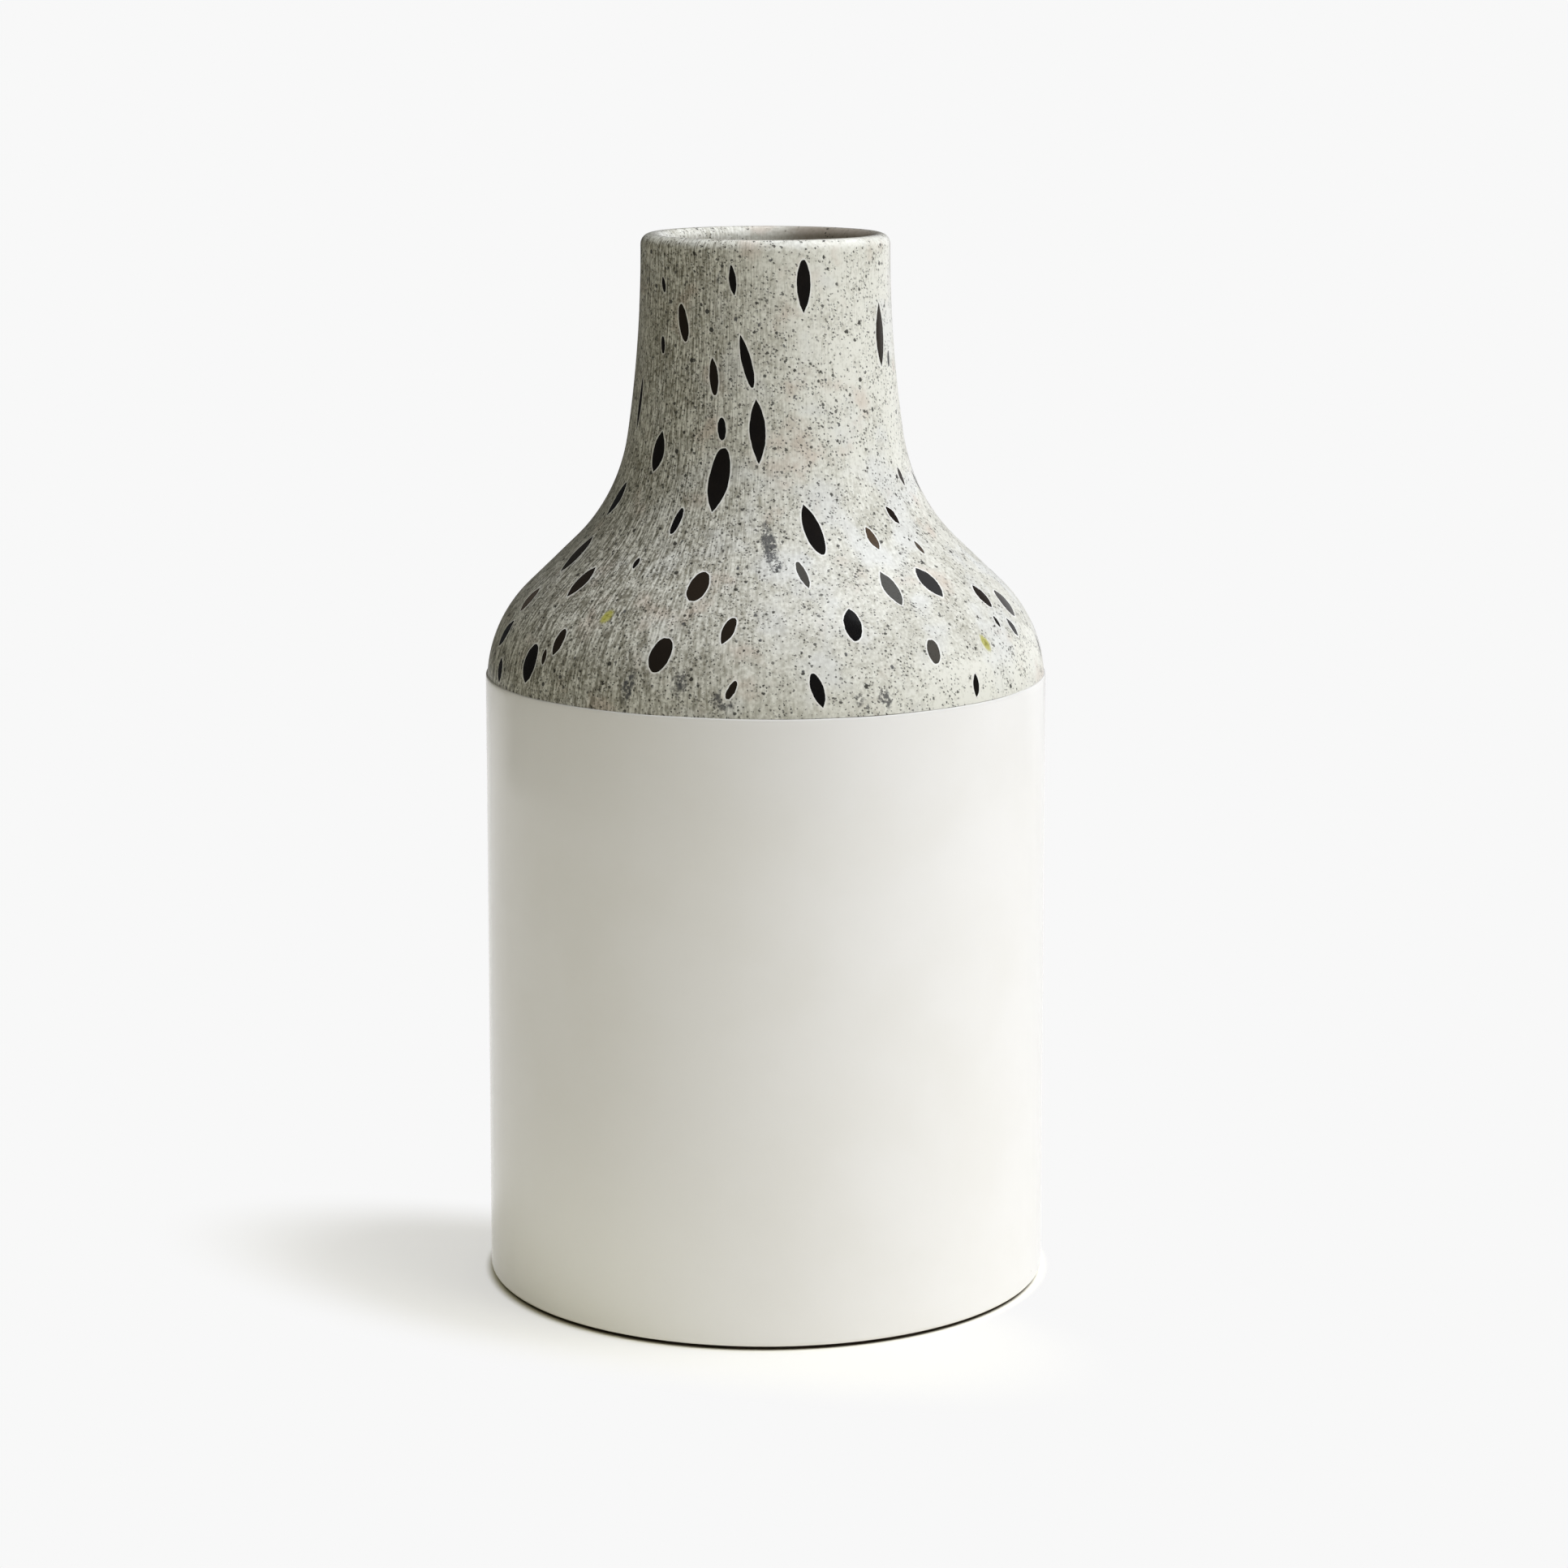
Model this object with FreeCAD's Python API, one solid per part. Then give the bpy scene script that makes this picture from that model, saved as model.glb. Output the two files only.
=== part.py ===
import FreeCAD, Part
import math
import os
from typing import NamedTuple

# Bottle vase in glazed stoneware, in millimetres, +Z up.
# The origin is on the table, on the vase's axis. The front faces -Y, with +X to its right.

# Clay casting, outer line from the foot up
side_radius = 78.9
foot_flare = 0.8
side_height = 172.0
shoulder_radius = 37.5
shoulder_angle = 46.2
slope_length = 18.4
root_radius = 52.6
neck_angle = 8.6
neck_length = 53.5

# Clay casting, inside and foot
clay_wall = 5.0
floor_thickness = 6.0
floor_corner_radius = 12.0
foot_edge_radius = 0.6
foot_step = 1.0
foot_recess = 2.5
foot_ring_width = 10.0
foot_ring_inset = 2.7
foot_ring_edge_share = 0.4

# Glazes
speckled_glaze = 0.5
liner_glaze = 0.5
white_step = 0.4
seam_rise = 2.4
throat_glaze_share = 0.75

# Foot pads
pad_count = 4
pad_radius = 4.2
pad_thickness = 0.8
pad_edge_share = 0.4
first_pad_angle = 45.0

# Iron flecks in the speckled glaze, sizes of the largest one
fleck_width = 6.0
fleck_length = 18.0

# Points closer than this are one point
same_point = 0.000001


class Bend(NamedTuple):
    """A turn of the clay's outer line about one centre.

    Leans are in degrees from upright, inwards. Where the line is hollow, the radius is negative.
    """
    centre_r: float
    centre_z: float
    radius: float
    low: float
    high: float


def sine(angle):
    """Sine of an angle in degrees."""
    return math.sin(math.radians(angle))


def cosine(angle):
    """Cosine of an angle in degrees."""
    return math.cos(math.radians(angle))


def on_bend(bend, lean, offset):
    """Point where the bend leans by that much, offset outwards from the clay's outer line."""
    reach = bend.radius + offset
    return (bend.centre_r + reach * cosine(lean), bend.centre_z + reach * sine(lean))


# Heights from the table up
foot_height = pad_thickness
underside_height = foot_height + foot_step
recess_height = foot_height + foot_recess
floor_height = recess_height + floor_thickness
spring_height = underside_height + side_height

# The side is a very slight cone, wider at the foot
side_lean = math.degrees(math.atan2(foot_flare, side_height))


def side_point(height, offset):
    """Radius of the straight side at a height, offset outwards from the clay's outer line."""
    return side_radius + (spring_height - height) * foot_flare / side_height + offset / cosine(side_lean)


def corner_bend(corner_radius, bottom_height, depth):
    """Turn from a level bottom up into a side that lies at that depth behind the outer line."""
    centre_z = bottom_height + corner_radius
    centre_r = side_point(centre_z, -depth - corner_radius)
    return Bend(centre_r, centre_z, corner_radius + depth, -90, side_lean)


def shoulder_bend():
    """Turn from the side in to the shoulder's slope."""
    centre_r = side_radius - shoulder_radius * cosine(side_lean)
    centre_z = spring_height - shoulder_radius * sine(side_lean)
    return Bend(centre_r, centre_z, shoulder_radius, side_lean, shoulder_angle)


def root_bend():
    """Hollow turn from the slope up into the root of the neck."""
    slope_foot_r, slope_foot_z = on_bend(shoulder, shoulder_angle, 0)
    slope_top_r = slope_foot_r - slope_length * sine(shoulder_angle)
    slope_top_z = slope_foot_z + slope_length * cosine(shoulder_angle)
    centre_r = slope_top_r + root_radius * cosine(shoulder_angle)
    centre_z = slope_top_z + root_radius * sine(shoulder_angle)
    return Bend(centre_r, centre_z, -root_radius, shoulder_angle, neck_angle)


def neck_bend():
    """Long hollow turn of the neck, upright where the lip springs from it."""
    root_top_r, root_top_z = on_bend(root, neck_angle, 0)
    radius = neck_length / sine(neck_angle)
    centre_r = root_top_r + radius * cosine(neck_angle)
    centre_z = root_top_z + radius * sine(neck_angle)
    return Bend(centre_r, centre_z, -radius, neck_angle, 0)


foot_edge = corner_bend(foot_edge_radius, underside_height, 0)
floor_corner = corner_bend(floor_corner_radius, floor_height, clay_wall)
shoulder = shoulder_bend()
root = root_bend()
neck = neck_bend()
lip_radius, lip_height = on_bend(neck, neck.high, -clay_wall / 2)

foot_ring_outer_radius = foot_edge.centre_r - foot_ring_inset
foot_ring_inner_radius = foot_ring_outer_radius - foot_ring_width
foot_ring_edge = foot_step * foot_ring_edge_share
pad_place_radius = (foot_ring_outer_radius + foot_ring_inner_radius) / 2


def lean_above_spring(rise):
    """Lean of the shoulder's outer line at a height above the place where it springs."""
    return math.degrees(math.asin(sine(side_lean) + rise / shoulder_radius))


# Where one glaze ends and the next begins
white_glaze = speckled_glaze + white_step
seam_lean = lean_above_spring(seam_rise)
roll_lean = lean_above_spring(seam_rise - white_step)
throat_lean = math.degrees(math.asin(throat_glaze_share * sine(neck_angle)))

outer_line_of_neck = [shoulder._replace(low=seam_lean), root, neck]
throat = neck._replace(low=throat_lean)
inside_below_throat = [floor_corner, shoulder, root, neck._replace(high=throat_lean)]


def space_point(place):
    """Vector of a (radius, height) pair, in the half plane behind the axis."""
    return FreeCAD.Vector(0, place[0], place[1])


class Outline:
    """Closed section of a turned piece, drawn in the half plane behind the axis."""

    def __init__(self, start):
        self.start = start
        self.end = start
        self.edges = []

    def line_to(self, end):
        """Straight run to a point, left out where the pen is there already."""
        here = space_point(self.end)
        there = space_point(end)
        if here.distanceToPoint(there) > same_point:
            self.edges.append(Part.LineSegment(here, there).toShape())
        self.end = end

    def arc_to(self, middle, end):
        """Arc through a middle point."""
        arc = Part.Arc(space_point(self.end), space_point(middle), space_point(end))
        self.edges.append(arc.toShape())
        self.end = end

    def turn(self, bend, offset, first, last):
        """Run to a bend and round it, from one lean to another."""
        self.line_to(on_bend(bend, first, offset))
        self.arc_to(on_bend(bend, (first + last) / 2, offset), on_bend(bend, last, offset))

    def climb(self, bends, offset):
        """Up along the bends, given from the lowest, at an offset from the clay's outer line."""
        for bend in bends:
            self.turn(bend, offset, bend.low, bend.high)

    def descend(self, bends, offset):
        """Down along the bends, given from the lowest, at an offset from the clay's outer line."""
        for bend in reversed(bends):
            self.turn(bend, offset, bend.high, bend.low)

    def round_lip(self, growth, side):
        """Half round over the lip, grown by a glaze, to the outside (side 1) or the inside (side -1)."""
        reach = clay_wall / 2 + growth
        self.arc_to((lip_radius, lip_height + reach), (lip_radius + side * reach, lip_height))

    def revolved(self):
        """The solid that the closed section sweeps about the axis."""
        self.line_to(self.start)
        face = Part.Face(Part.Wire(self.edges))
        return face.revolve(FreeCAD.Vector(0, 0, 0), FreeCAD.Vector(0, 0, 1), 360)


def stoneware_body():
    """The fired clay: one hollow casting with a floor and an unglazed foot ring."""
    outline = Outline((0, recess_height))
    outline.line_to((foot_ring_inner_radius, recess_height))
    outline.line_to((foot_ring_inner_radius, foot_height + foot_ring_edge))
    outline.line_to((foot_ring_inner_radius + foot_ring_edge, foot_height))
    outline.line_to((foot_ring_outer_radius - foot_ring_edge, foot_height))
    outline.line_to((foot_ring_outer_radius, foot_height + foot_ring_edge))
    outline.line_to((foot_ring_outer_radius, underside_height))
    outline.climb([foot_edge, shoulder, root, neck], 0)
    outline.round_lip(0, -1)
    outline.descend([floor_corner, shoulder, root, neck], -clay_wall)
    outline.line_to((0, floor_height))
    return outline.revolved()


def white_body_glaze():
    """Thick white glaze on the side, rounded over where it meets the speckled glaze."""
    below_seam = shoulder._replace(high=seam_lean)
    below_roll = shoulder._replace(high=roll_lean)
    roll_centre = on_bend(shoulder, roll_lean, speckled_glaze)
    diagonal = white_step * sine(45)
    outline = Outline(on_bend(foot_edge, foot_edge.low, 0))
    outline.climb([foot_edge, below_seam], 0)
    outline.line_to(on_bend(shoulder, seam_lean, speckled_glaze))
    outline.arc_to((roll_centre[0] + diagonal, roll_centre[1] + diagonal),
                   on_bend(shoulder, roll_lean, white_glaze))
    outline.descend([foot_edge, below_roll], white_glaze)
    return outline.revolved()


def speckled_shell():
    """Speckled glaze on the shoulder and neck, over the lip and down into the throat."""
    inside = -clay_wall - speckled_glaze
    outline = Outline(on_bend(shoulder, seam_lean, 0))
    outline.climb(outer_line_of_neck, 0)
    outline.round_lip(0, -1)
    outline.descend([throat], -clay_wall)
    outline.climb([throat], inside)
    outline.round_lip(speckled_glaze, 1)
    outline.descend(outer_line_of_neck, speckled_glaze)
    return outline.revolved()


def liner_skin():
    """Plain glaze over the inside, from the throat down to the floor."""
    outline = Outline((0, floor_height))
    outline.climb(inside_below_throat, -clay_wall)
    outline.descend(inside_below_throat, -clay_wall - liner_glaze)
    outline.line_to((0, floor_height + liner_glaze))
    return outline.revolved()


def foot_pad(number):
    """Round pad under the foot ring, with its lower edge rounded."""
    edge = pad_thickness * pad_edge_share
    angle = first_pad_angle + number * 360 / pad_count
    outline = Outline((0, 0))
    outline.line_to((pad_radius - edge, 0))
    outline.arc_to((pad_radius - edge + edge * sine(45), edge - edge * cosine(45)), (pad_radius, edge))
    outline.line_to((pad_radius, pad_thickness))
    outline.line_to((0, pad_thickness))
    pad = outline.revolved()
    pad.translate(FreeCAD.Vector(pad_place_radius * cosine(angle), pad_place_radius * sine(angle), 0))
    return pad


class Fleck(NamedTuple):
    """One fleck: its place and size in the speckled glaze.

    around is in degrees from the front, to its right. climb_share is the way from the seam to the
    lip, along the outer line. The sizes are shares of the largest fleck's. lean is in degrees, to
    the right. ends says whether the top and the bottom are pointed (P) or round (R).
    """
    around: float
    climb_share: float
    width_share: float
    length_share: float
    lean: float
    ends: str


front_black_fleck_shares = [
    Fleck(17.5, 0.930, 0.64, 0.80, 0, "RP"),
    Fleck(62.5, 0.820, 0.75, 0.98, 1, "PP"),
    Fleck(70.5, 0.768, 0.22, 0.24, 7, "PP"),
    Fleck(-39.0, 0.852, 0.52, 0.57, -12, "RR"),
    Fleck(-14.5, 0.942, 0.28, 0.44, -7, "PP"),
    Fleck(-52.5, 0.926, 0.20, 0.22, -14, "PP"),
    Fleck(-8.0, 0.779, 0.46, 0.82, -14, "PR"),
    Fleck(-22.5, 0.747, 0.40, 0.55, -7, "PR"),
    Fleck(-51.5, 0.804, 0.20, 0.24, -8, "RR"),
    Fleck(-3.0, 0.638, 0.73, 1.00, -3, "PP"),
    Fleck(-18.0, 0.641, 0.35, 0.32, -4, "RR"),
    Fleck(-48.5, 0.584, 0.76, 0.65, 7, "PP"),
    Fleck(-18.0, 0.535, 0.98, 1.00, 5, "RP"),
    Fleck(-68.0, 0.677, 0.27, 0.81, 2, "PP"),
    Fleck(-68.5, 0.470, 0.66, 0.64, 16, "PP"),
    Fleck(-31.5, 0.442, 0.35, 0.42, 9, "RR"),
    Fleck(-69.5, 0.326, 0.90, 0.78, -1, "PP"),
    Fleck(-55.0, 0.267, 0.80, 0.64, 10, "PP"),
    Fleck(-39.5, 0.334, 0.19, 0.19, -2, "PP"),
    Fleck(-74.0, 0.106, 0.75, 0.53, 26, "PP"),
    Fleck(-49.0, 0.123, 0.58, 0.43, 6, "RP"),
    Fleck(-56.5, 0.067, 1.00, 0.61, 4, "RP"),
    Fleck(-52.0, 0.087, 0.24, 0.22, -8, "PP"),
    Fleck(-70.0, 0.033, 0.63, 0.39, -14, "PP"),
    Fleck(-17.5, 0.287, 0.93, 0.56, 9, "RR"),
    Fleck(-8.0, 0.181, 0.55, 0.49, 18, "RP"),
    Fleck(-22.0, 0.122, 1.00, 0.56, 13, "RR"),
    Fleck(-6.5, 0.056, 0.32, 0.29, 26, "RR"),
    Fleck(16.0, 0.427, 0.82, 0.87, -12, "PR"),
    Fleck(50.0, 0.446, 0.36, 0.34, -25, "PP"),
    Fleck(65.5, 0.523, 0.28, 0.29, -12, "PP"),
    Fleck(47.5, 0.275, 0.97, 0.62, -13, "PP"),
    Fleck(20.0, 0.191, 0.82, 0.58, 4, "PR"),
    Fleck(64.0, 0.214, 0.77, 0.46, 1, "PP"),
    Fleck(73.0, 0.181, 0.97, 0.52, 2, "PP"),
    Fleck(68.0, 0.129, 0.42, 0.33, -16, "PP"),
    Fleck(62.0, 0.151, 0.20, 0.18, -4, "PP"),
    Fleck(10.5, 0.055, 0.58, 0.53, -15, "RP"),
    Fleck(47.0, 0.035, 0.35, 0.34, 6, "PP"),
    Fleck(84.0, 0.498, 0.40, 0.44, -20, "PP"),
    Fleck(83.5, 0.062, 0.42, 0.38, 9, "PP"),
]

front_grey_fleck_shares = [
    Fleck(-72.5, 0.192, 0.80, 0.48, -3, "PP"),
    Fleck(10.5, 0.319, 0.37, 0.51, -13, "RP"),
    Fleck(34.0, 0.271, 0.77, 0.68, -6, "PP"),
    Fleck(36.5, 0.399, 0.45, 0.40, -10, "PP"),
    Fleck(54.0, 0.362, 0.23, 0.23, -7, "PP"),
    Fleck(37.5, 0.116, 0.68, 0.38, 3, "RR"),
]

ochre_stain_shares = [
    Fleck(-38.5, 0.194, 0.45, 0.28, 17, "RR"),
    Fleck(53.5, 0.115, 0.37, 0.32, -21, "PR"),
    Fleck(162.0, 0.080, 0.40, 0.30, 12, "RR"),
    Fleck(-129.0, 0.080, 0.30, 0.34, -6, "PR"),
]

# Forms that the flecks on the back take in turn: width, length, lean and ends
back_fleck_form_shares = [
    (0.85, 0.60, 6, "RR"),
    (0.36, 0.52, -9, "PR"),
    (0.66, 0.82, -3, "PP"),
    (0.24, 0.30, 12, "PP"),
    (0.92, 0.66, 9, "RP"),
    (0.50, 0.44, -14, "RR"),
    (0.72, 0.48, 3, "PR"),
    (0.30, 0.62, -5, "PP"),
]
back_fleck_count = 56
back_start_angle = 91.0
back_sweep_angle = 178.0
back_lowest_share = 0.06
back_highest_share = 0.93
golden_share = 0.618
crowding_power = 1.2
back_narrowing_share = 0.33
grey_every = 6
grey_first = 2


def back_flecks():
    """Flecks on the back, spread evenly: each is a golden share of the sweep past the last."""
    flecks = []
    for number in range(back_fleck_count):
        way = (number / back_fleck_count) ** crowding_power
        climb_share = back_lowest_share + (back_highest_share - back_lowest_share) * way
        around = back_start_angle + back_sweep_angle * (number * golden_share % 1)
        width_share, length_share, lean, ends = back_fleck_form_shares[number % len(back_fleck_form_shares)]
        width_share *= 1 - back_narrowing_share * way
        flecks.append(Fleck(around, climb_share, width_share, length_share, lean, ends))
    return flecks


def neck_line_spot(climb_share):
    """Point of the clay's outer line and its lean, at a share of the way from the seam to the lip."""
    shoulder_run = shoulder_radius * math.radians(shoulder_angle - seam_lean)
    root_run = root_radius * math.radians(shoulder_angle - neck_angle)
    neck_run = -neck.radius * math.radians(neck_angle)
    way = climb_share * (shoulder_run + slope_length + root_run + neck_run)
    if way < shoulder_run:
        lean = seam_lean + math.degrees(way / shoulder.radius)
        return on_bend(shoulder, lean, 0), lean
    way -= shoulder_run
    if way < slope_length:
        foot_r, foot_z = on_bend(shoulder, shoulder_angle, 0)
        spot = (foot_r - way * sine(shoulder_angle), foot_z + way * cosine(shoulder_angle))
        return spot, shoulder_angle
    way -= slope_length
    if way < root_run:
        lean = shoulder_angle + math.degrees(way / root.radius)
        return on_bend(root, lean, 0), lean
    lean = neck_angle + math.degrees((way - root_run) / neck.radius)
    return on_bend(neck, lean, 0), lean


def round_end(half_width, half_length):
    """Half an ellipse from the right of a fleck's widest line, over its end, to the left."""
    centre = FreeCAD.Vector(0, 0, 0)
    side = FreeCAD.Vector(half_width, 0, 0)
    tip = FreeCAD.Vector(0, half_length, 0)
    if half_length > half_width:
        ellipse = Part.Ellipse(tip, FreeCAD.Vector(-half_width, 0, 0), centre)
        return [Part.ArcOfEllipse(ellipse, -math.pi / 2, math.pi / 2).toShape()]
    return [Part.ArcOfEllipse(Part.Ellipse(side, tip, centre), 0, math.pi).toShape()]


def pointed_end(half_width, half_length):
    """Two arcs that leave the ends of a fleck's widest line square to it and meet in a point."""
    radius = (half_length ** 2 + half_width ** 2) / (2 * half_width)
    half_turn = math.atan2(half_length, radius - half_width) / 2
    middle_x = half_width - radius + radius * math.cos(half_turn)
    middle_y = radius * math.sin(half_turn)
    tip = FreeCAD.Vector(0, half_length, 0)
    right = Part.Arc(FreeCAD.Vector(half_width, 0, 0), FreeCAD.Vector(middle_x, middle_y, 0), tip)
    left = Part.Arc(tip, FreeCAD.Vector(-middle_x, middle_y, 0), FreeCAD.Vector(-half_width, 0, 0))
    return [right.toShape(), left.toShape()]


def fleck_outline(fleck):
    """Face of a fleck's outline in the plane, length along Y."""
    half_width = fleck_width * fleck.width_share / 2
    half_length = fleck_length * fleck.length_share / 2
    end_forms = {"R": round_end, "P": pointed_end}
    top = end_forms[fleck.ends[0]](half_width, half_length)
    bottom = end_forms[fleck.ends[1]](half_width, half_length)
    for edge in bottom:
        edge.rotate(FreeCAD.Vector(0, 0, 0), FreeCAD.Vector(0, 0, 1), 180)
    return Part.Face(Part.Wire(top + bottom))


def fleck_punch(fleck):
    """Prism through the outer glaze where the fleck lies, along the surface's outward direction."""
    (radius, height), lean = neck_line_spot(fleck.climb_share)
    outwards = FreeCAD.Vector(sine(fleck.around), -cosine(fleck.around), 0)
    rightwards = FreeCAD.Vector(cosine(fleck.around), sine(fleck.around), 0)
    upwards = FreeCAD.Vector(0, 0, 1)
    normal = outwards * cosine(lean) + upwards * sine(lean)
    rising = upwards * cosine(lean) - outwards * sine(lean)
    along = rightwards * sine(fleck.lean) + rising * cosine(fleck.lean)
    across = rightwards * cosine(fleck.lean) - rising * sine(fleck.lean)
    start = outwards * radius + upwards * height - normal * (clay_wall / 2)
    punch = fleck_outline(fleck).extrude(FreeCAD.Vector(0, 0, clay_wall + speckled_glaze))
    punch.Placement = FreeCAD.Placement(FreeCAD.Matrix(
        across.x, along.x, normal.x, start.x,
        across.y, along.y, normal.y, start.y,
        across.z, along.z, normal.z, start.z,
        0, 0, 0, 1))
    return punch


def split_glaze(shell, punches):
    """What is left of the shell round the punches, and the fleck that each punch cuts free."""
    _, pieces = shell.generalFuse(punches)
    shell_pieces = pieces[0]
    flecks = []
    for punch_pieces in pieces[1:]:
        flecks.append([piece for piece in punch_pieces if is_one_of(piece, shell_pieces)])
    remainder = max(shell_pieces, key=piece_volume)
    return remainder, flecks


def is_one_of(piece, pieces):
    """Whether a piece is among those pieces."""
    return any(piece.isSame(other) for other in pieces)


def piece_volume(piece):
    """Volume of a piece."""
    return piece.Volume


def flecks_by_colour():
    """All flecks, in the order of the nodes that hold them."""
    back = back_flecks()
    back_grey = back[grey_first::grey_every]
    back_black = [fleck for fleck in back if fleck not in back_grey]
    return {
        "black_flecks": front_black_fleck_shares + back_black,
        "grey_flecks": front_grey_fleck_shares + back_grey,
        "ochre_stains": ochre_stain_shares,
    }


def build_nodes():
    """Every piece of the vase, by name."""
    groups = flecks_by_colour()
    punches = [fleck_punch(fleck) for group in groups.values() for fleck in group]
    remainder, fleck_pieces = split_glaze(speckled_shell(), punches)
    nodes = {
        "stoneware_body": stoneware_body(),
        "white_body_glaze": white_body_glaze(),
        "speckled_neck_glaze": remainder,
        "liner_glaze": liner_skin(),
    }
    for name, group in groups.items():
        own_pieces = [piece for pieces in fleck_pieces[:len(group)] for piece in pieces]
        fleck_pieces = fleck_pieces[len(group):]
        nodes[name] = Part.makeCompound(own_pieces)
    for number in range(pad_count):
        nodes[f"foot_pad_{number + 1}"] = foot_pad(number)
    return nodes


def main():
    """Write one file for each piece."""
    os.makedirs("parts", exist_ok=True)
    for name, shape in build_nodes().items():
        shape.exportStep(f"parts/{name}.step")
        print(name, "solids", len(shape.Solids), "valid", shape.isValid(), "volume", round(shape.Volume, 1))


main()
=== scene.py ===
"""Bottle vase in glazed stoneware, dressed for a studio picture.

The vase's own sizes are in millimetres, as on its drawing, and become metres where a mesh is made.
It stands on the table at the origin with +Z up, and its front faces -Y with +X to its right.
"""

import logging
import math
import random
from dataclasses import dataclass
from enum import Enum
from functools import reduce
from typing import Callable, Union

import bpy
import numpy as np
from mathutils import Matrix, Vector


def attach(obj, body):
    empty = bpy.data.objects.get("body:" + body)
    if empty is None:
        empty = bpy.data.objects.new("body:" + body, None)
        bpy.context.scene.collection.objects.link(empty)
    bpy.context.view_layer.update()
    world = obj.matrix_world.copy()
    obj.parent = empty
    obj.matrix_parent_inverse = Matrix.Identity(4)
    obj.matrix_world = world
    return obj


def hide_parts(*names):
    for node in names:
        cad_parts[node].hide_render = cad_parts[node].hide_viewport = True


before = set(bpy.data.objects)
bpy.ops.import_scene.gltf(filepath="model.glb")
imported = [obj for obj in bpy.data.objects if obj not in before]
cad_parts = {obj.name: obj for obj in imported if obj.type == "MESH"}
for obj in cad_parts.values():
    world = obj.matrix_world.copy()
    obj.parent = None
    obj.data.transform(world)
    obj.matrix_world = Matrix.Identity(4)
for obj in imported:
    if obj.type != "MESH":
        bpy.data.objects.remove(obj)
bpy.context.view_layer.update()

MILLIMETRE = 0.001
PHOTO_WIDTH = 1932

Point = tuple[float, float]
Triple = tuple[float, float, float]
Colour = tuple[float, float, float]
Face = tuple[int, ...]
Value = Union["Wire", float]
Loop = tuple[np.ndarray, float, dict[str, Union[float, np.ndarray]]]

log = logging.getLogger("bottle_vase")


# The drawing


def between(start: Point, end: Point, count: int) -> list[Point]:
    """Points that part a line in that many equal steps, without its ends."""
    (r0, z0), (r1, z1) = start, end
    return [(r0 + (r1 - r0) * n / count, z0 + (z1 - z0) * n / count) for n in range(1, count)]


@dataclass(frozen=True)
class Bend:
    """A turn of the clay's outer line about one centre.

    Leans are in degrees from upright, inwards. Where the line is hollow, the radius is negative.
    """

    centre_r: float
    centre_z: float
    radius: float
    low: float
    high: float

    def spot(self, lean: float, offset: float) -> Point:
        """Point of the bend at a lean, offset outwards from the clay's outer line."""
        reach, angle = self.radius + offset, math.radians(lean)
        return self.centre_r + reach * math.cos(angle), self.centre_z + reach * math.sin(angle)

    def points(self, offset: float, low: float, high: float, count: int) -> list[Point]:
        """Points from one lean to another in that many equal steps, both ends included."""
        return [self.spot(low + (high - low) * n / count, offset) for n in range(count + 1)]

    def run(self, offset: float, step: float, low: Union[float, None] = None,
            high: Union[float, None] = None) -> list[Point]:
        """Points round the bend, from its lower end to its upper end.

        Args:
            offset: distance outwards from the clay's outer line.
            step: longest distance between two points.
            low: lean to begin at, if that isn't the lower end.
            high: lean to stop at, if that isn't the upper end.

        Returns:
            The points, both ends included.
        """
        first = self.low if low is None else low
        last = self.high if high is None else high
        length = abs(self.radius + offset) * math.radians(abs(last - first))
        return self.points(offset, first, last, max(2, math.ceil(length / step)))


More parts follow.
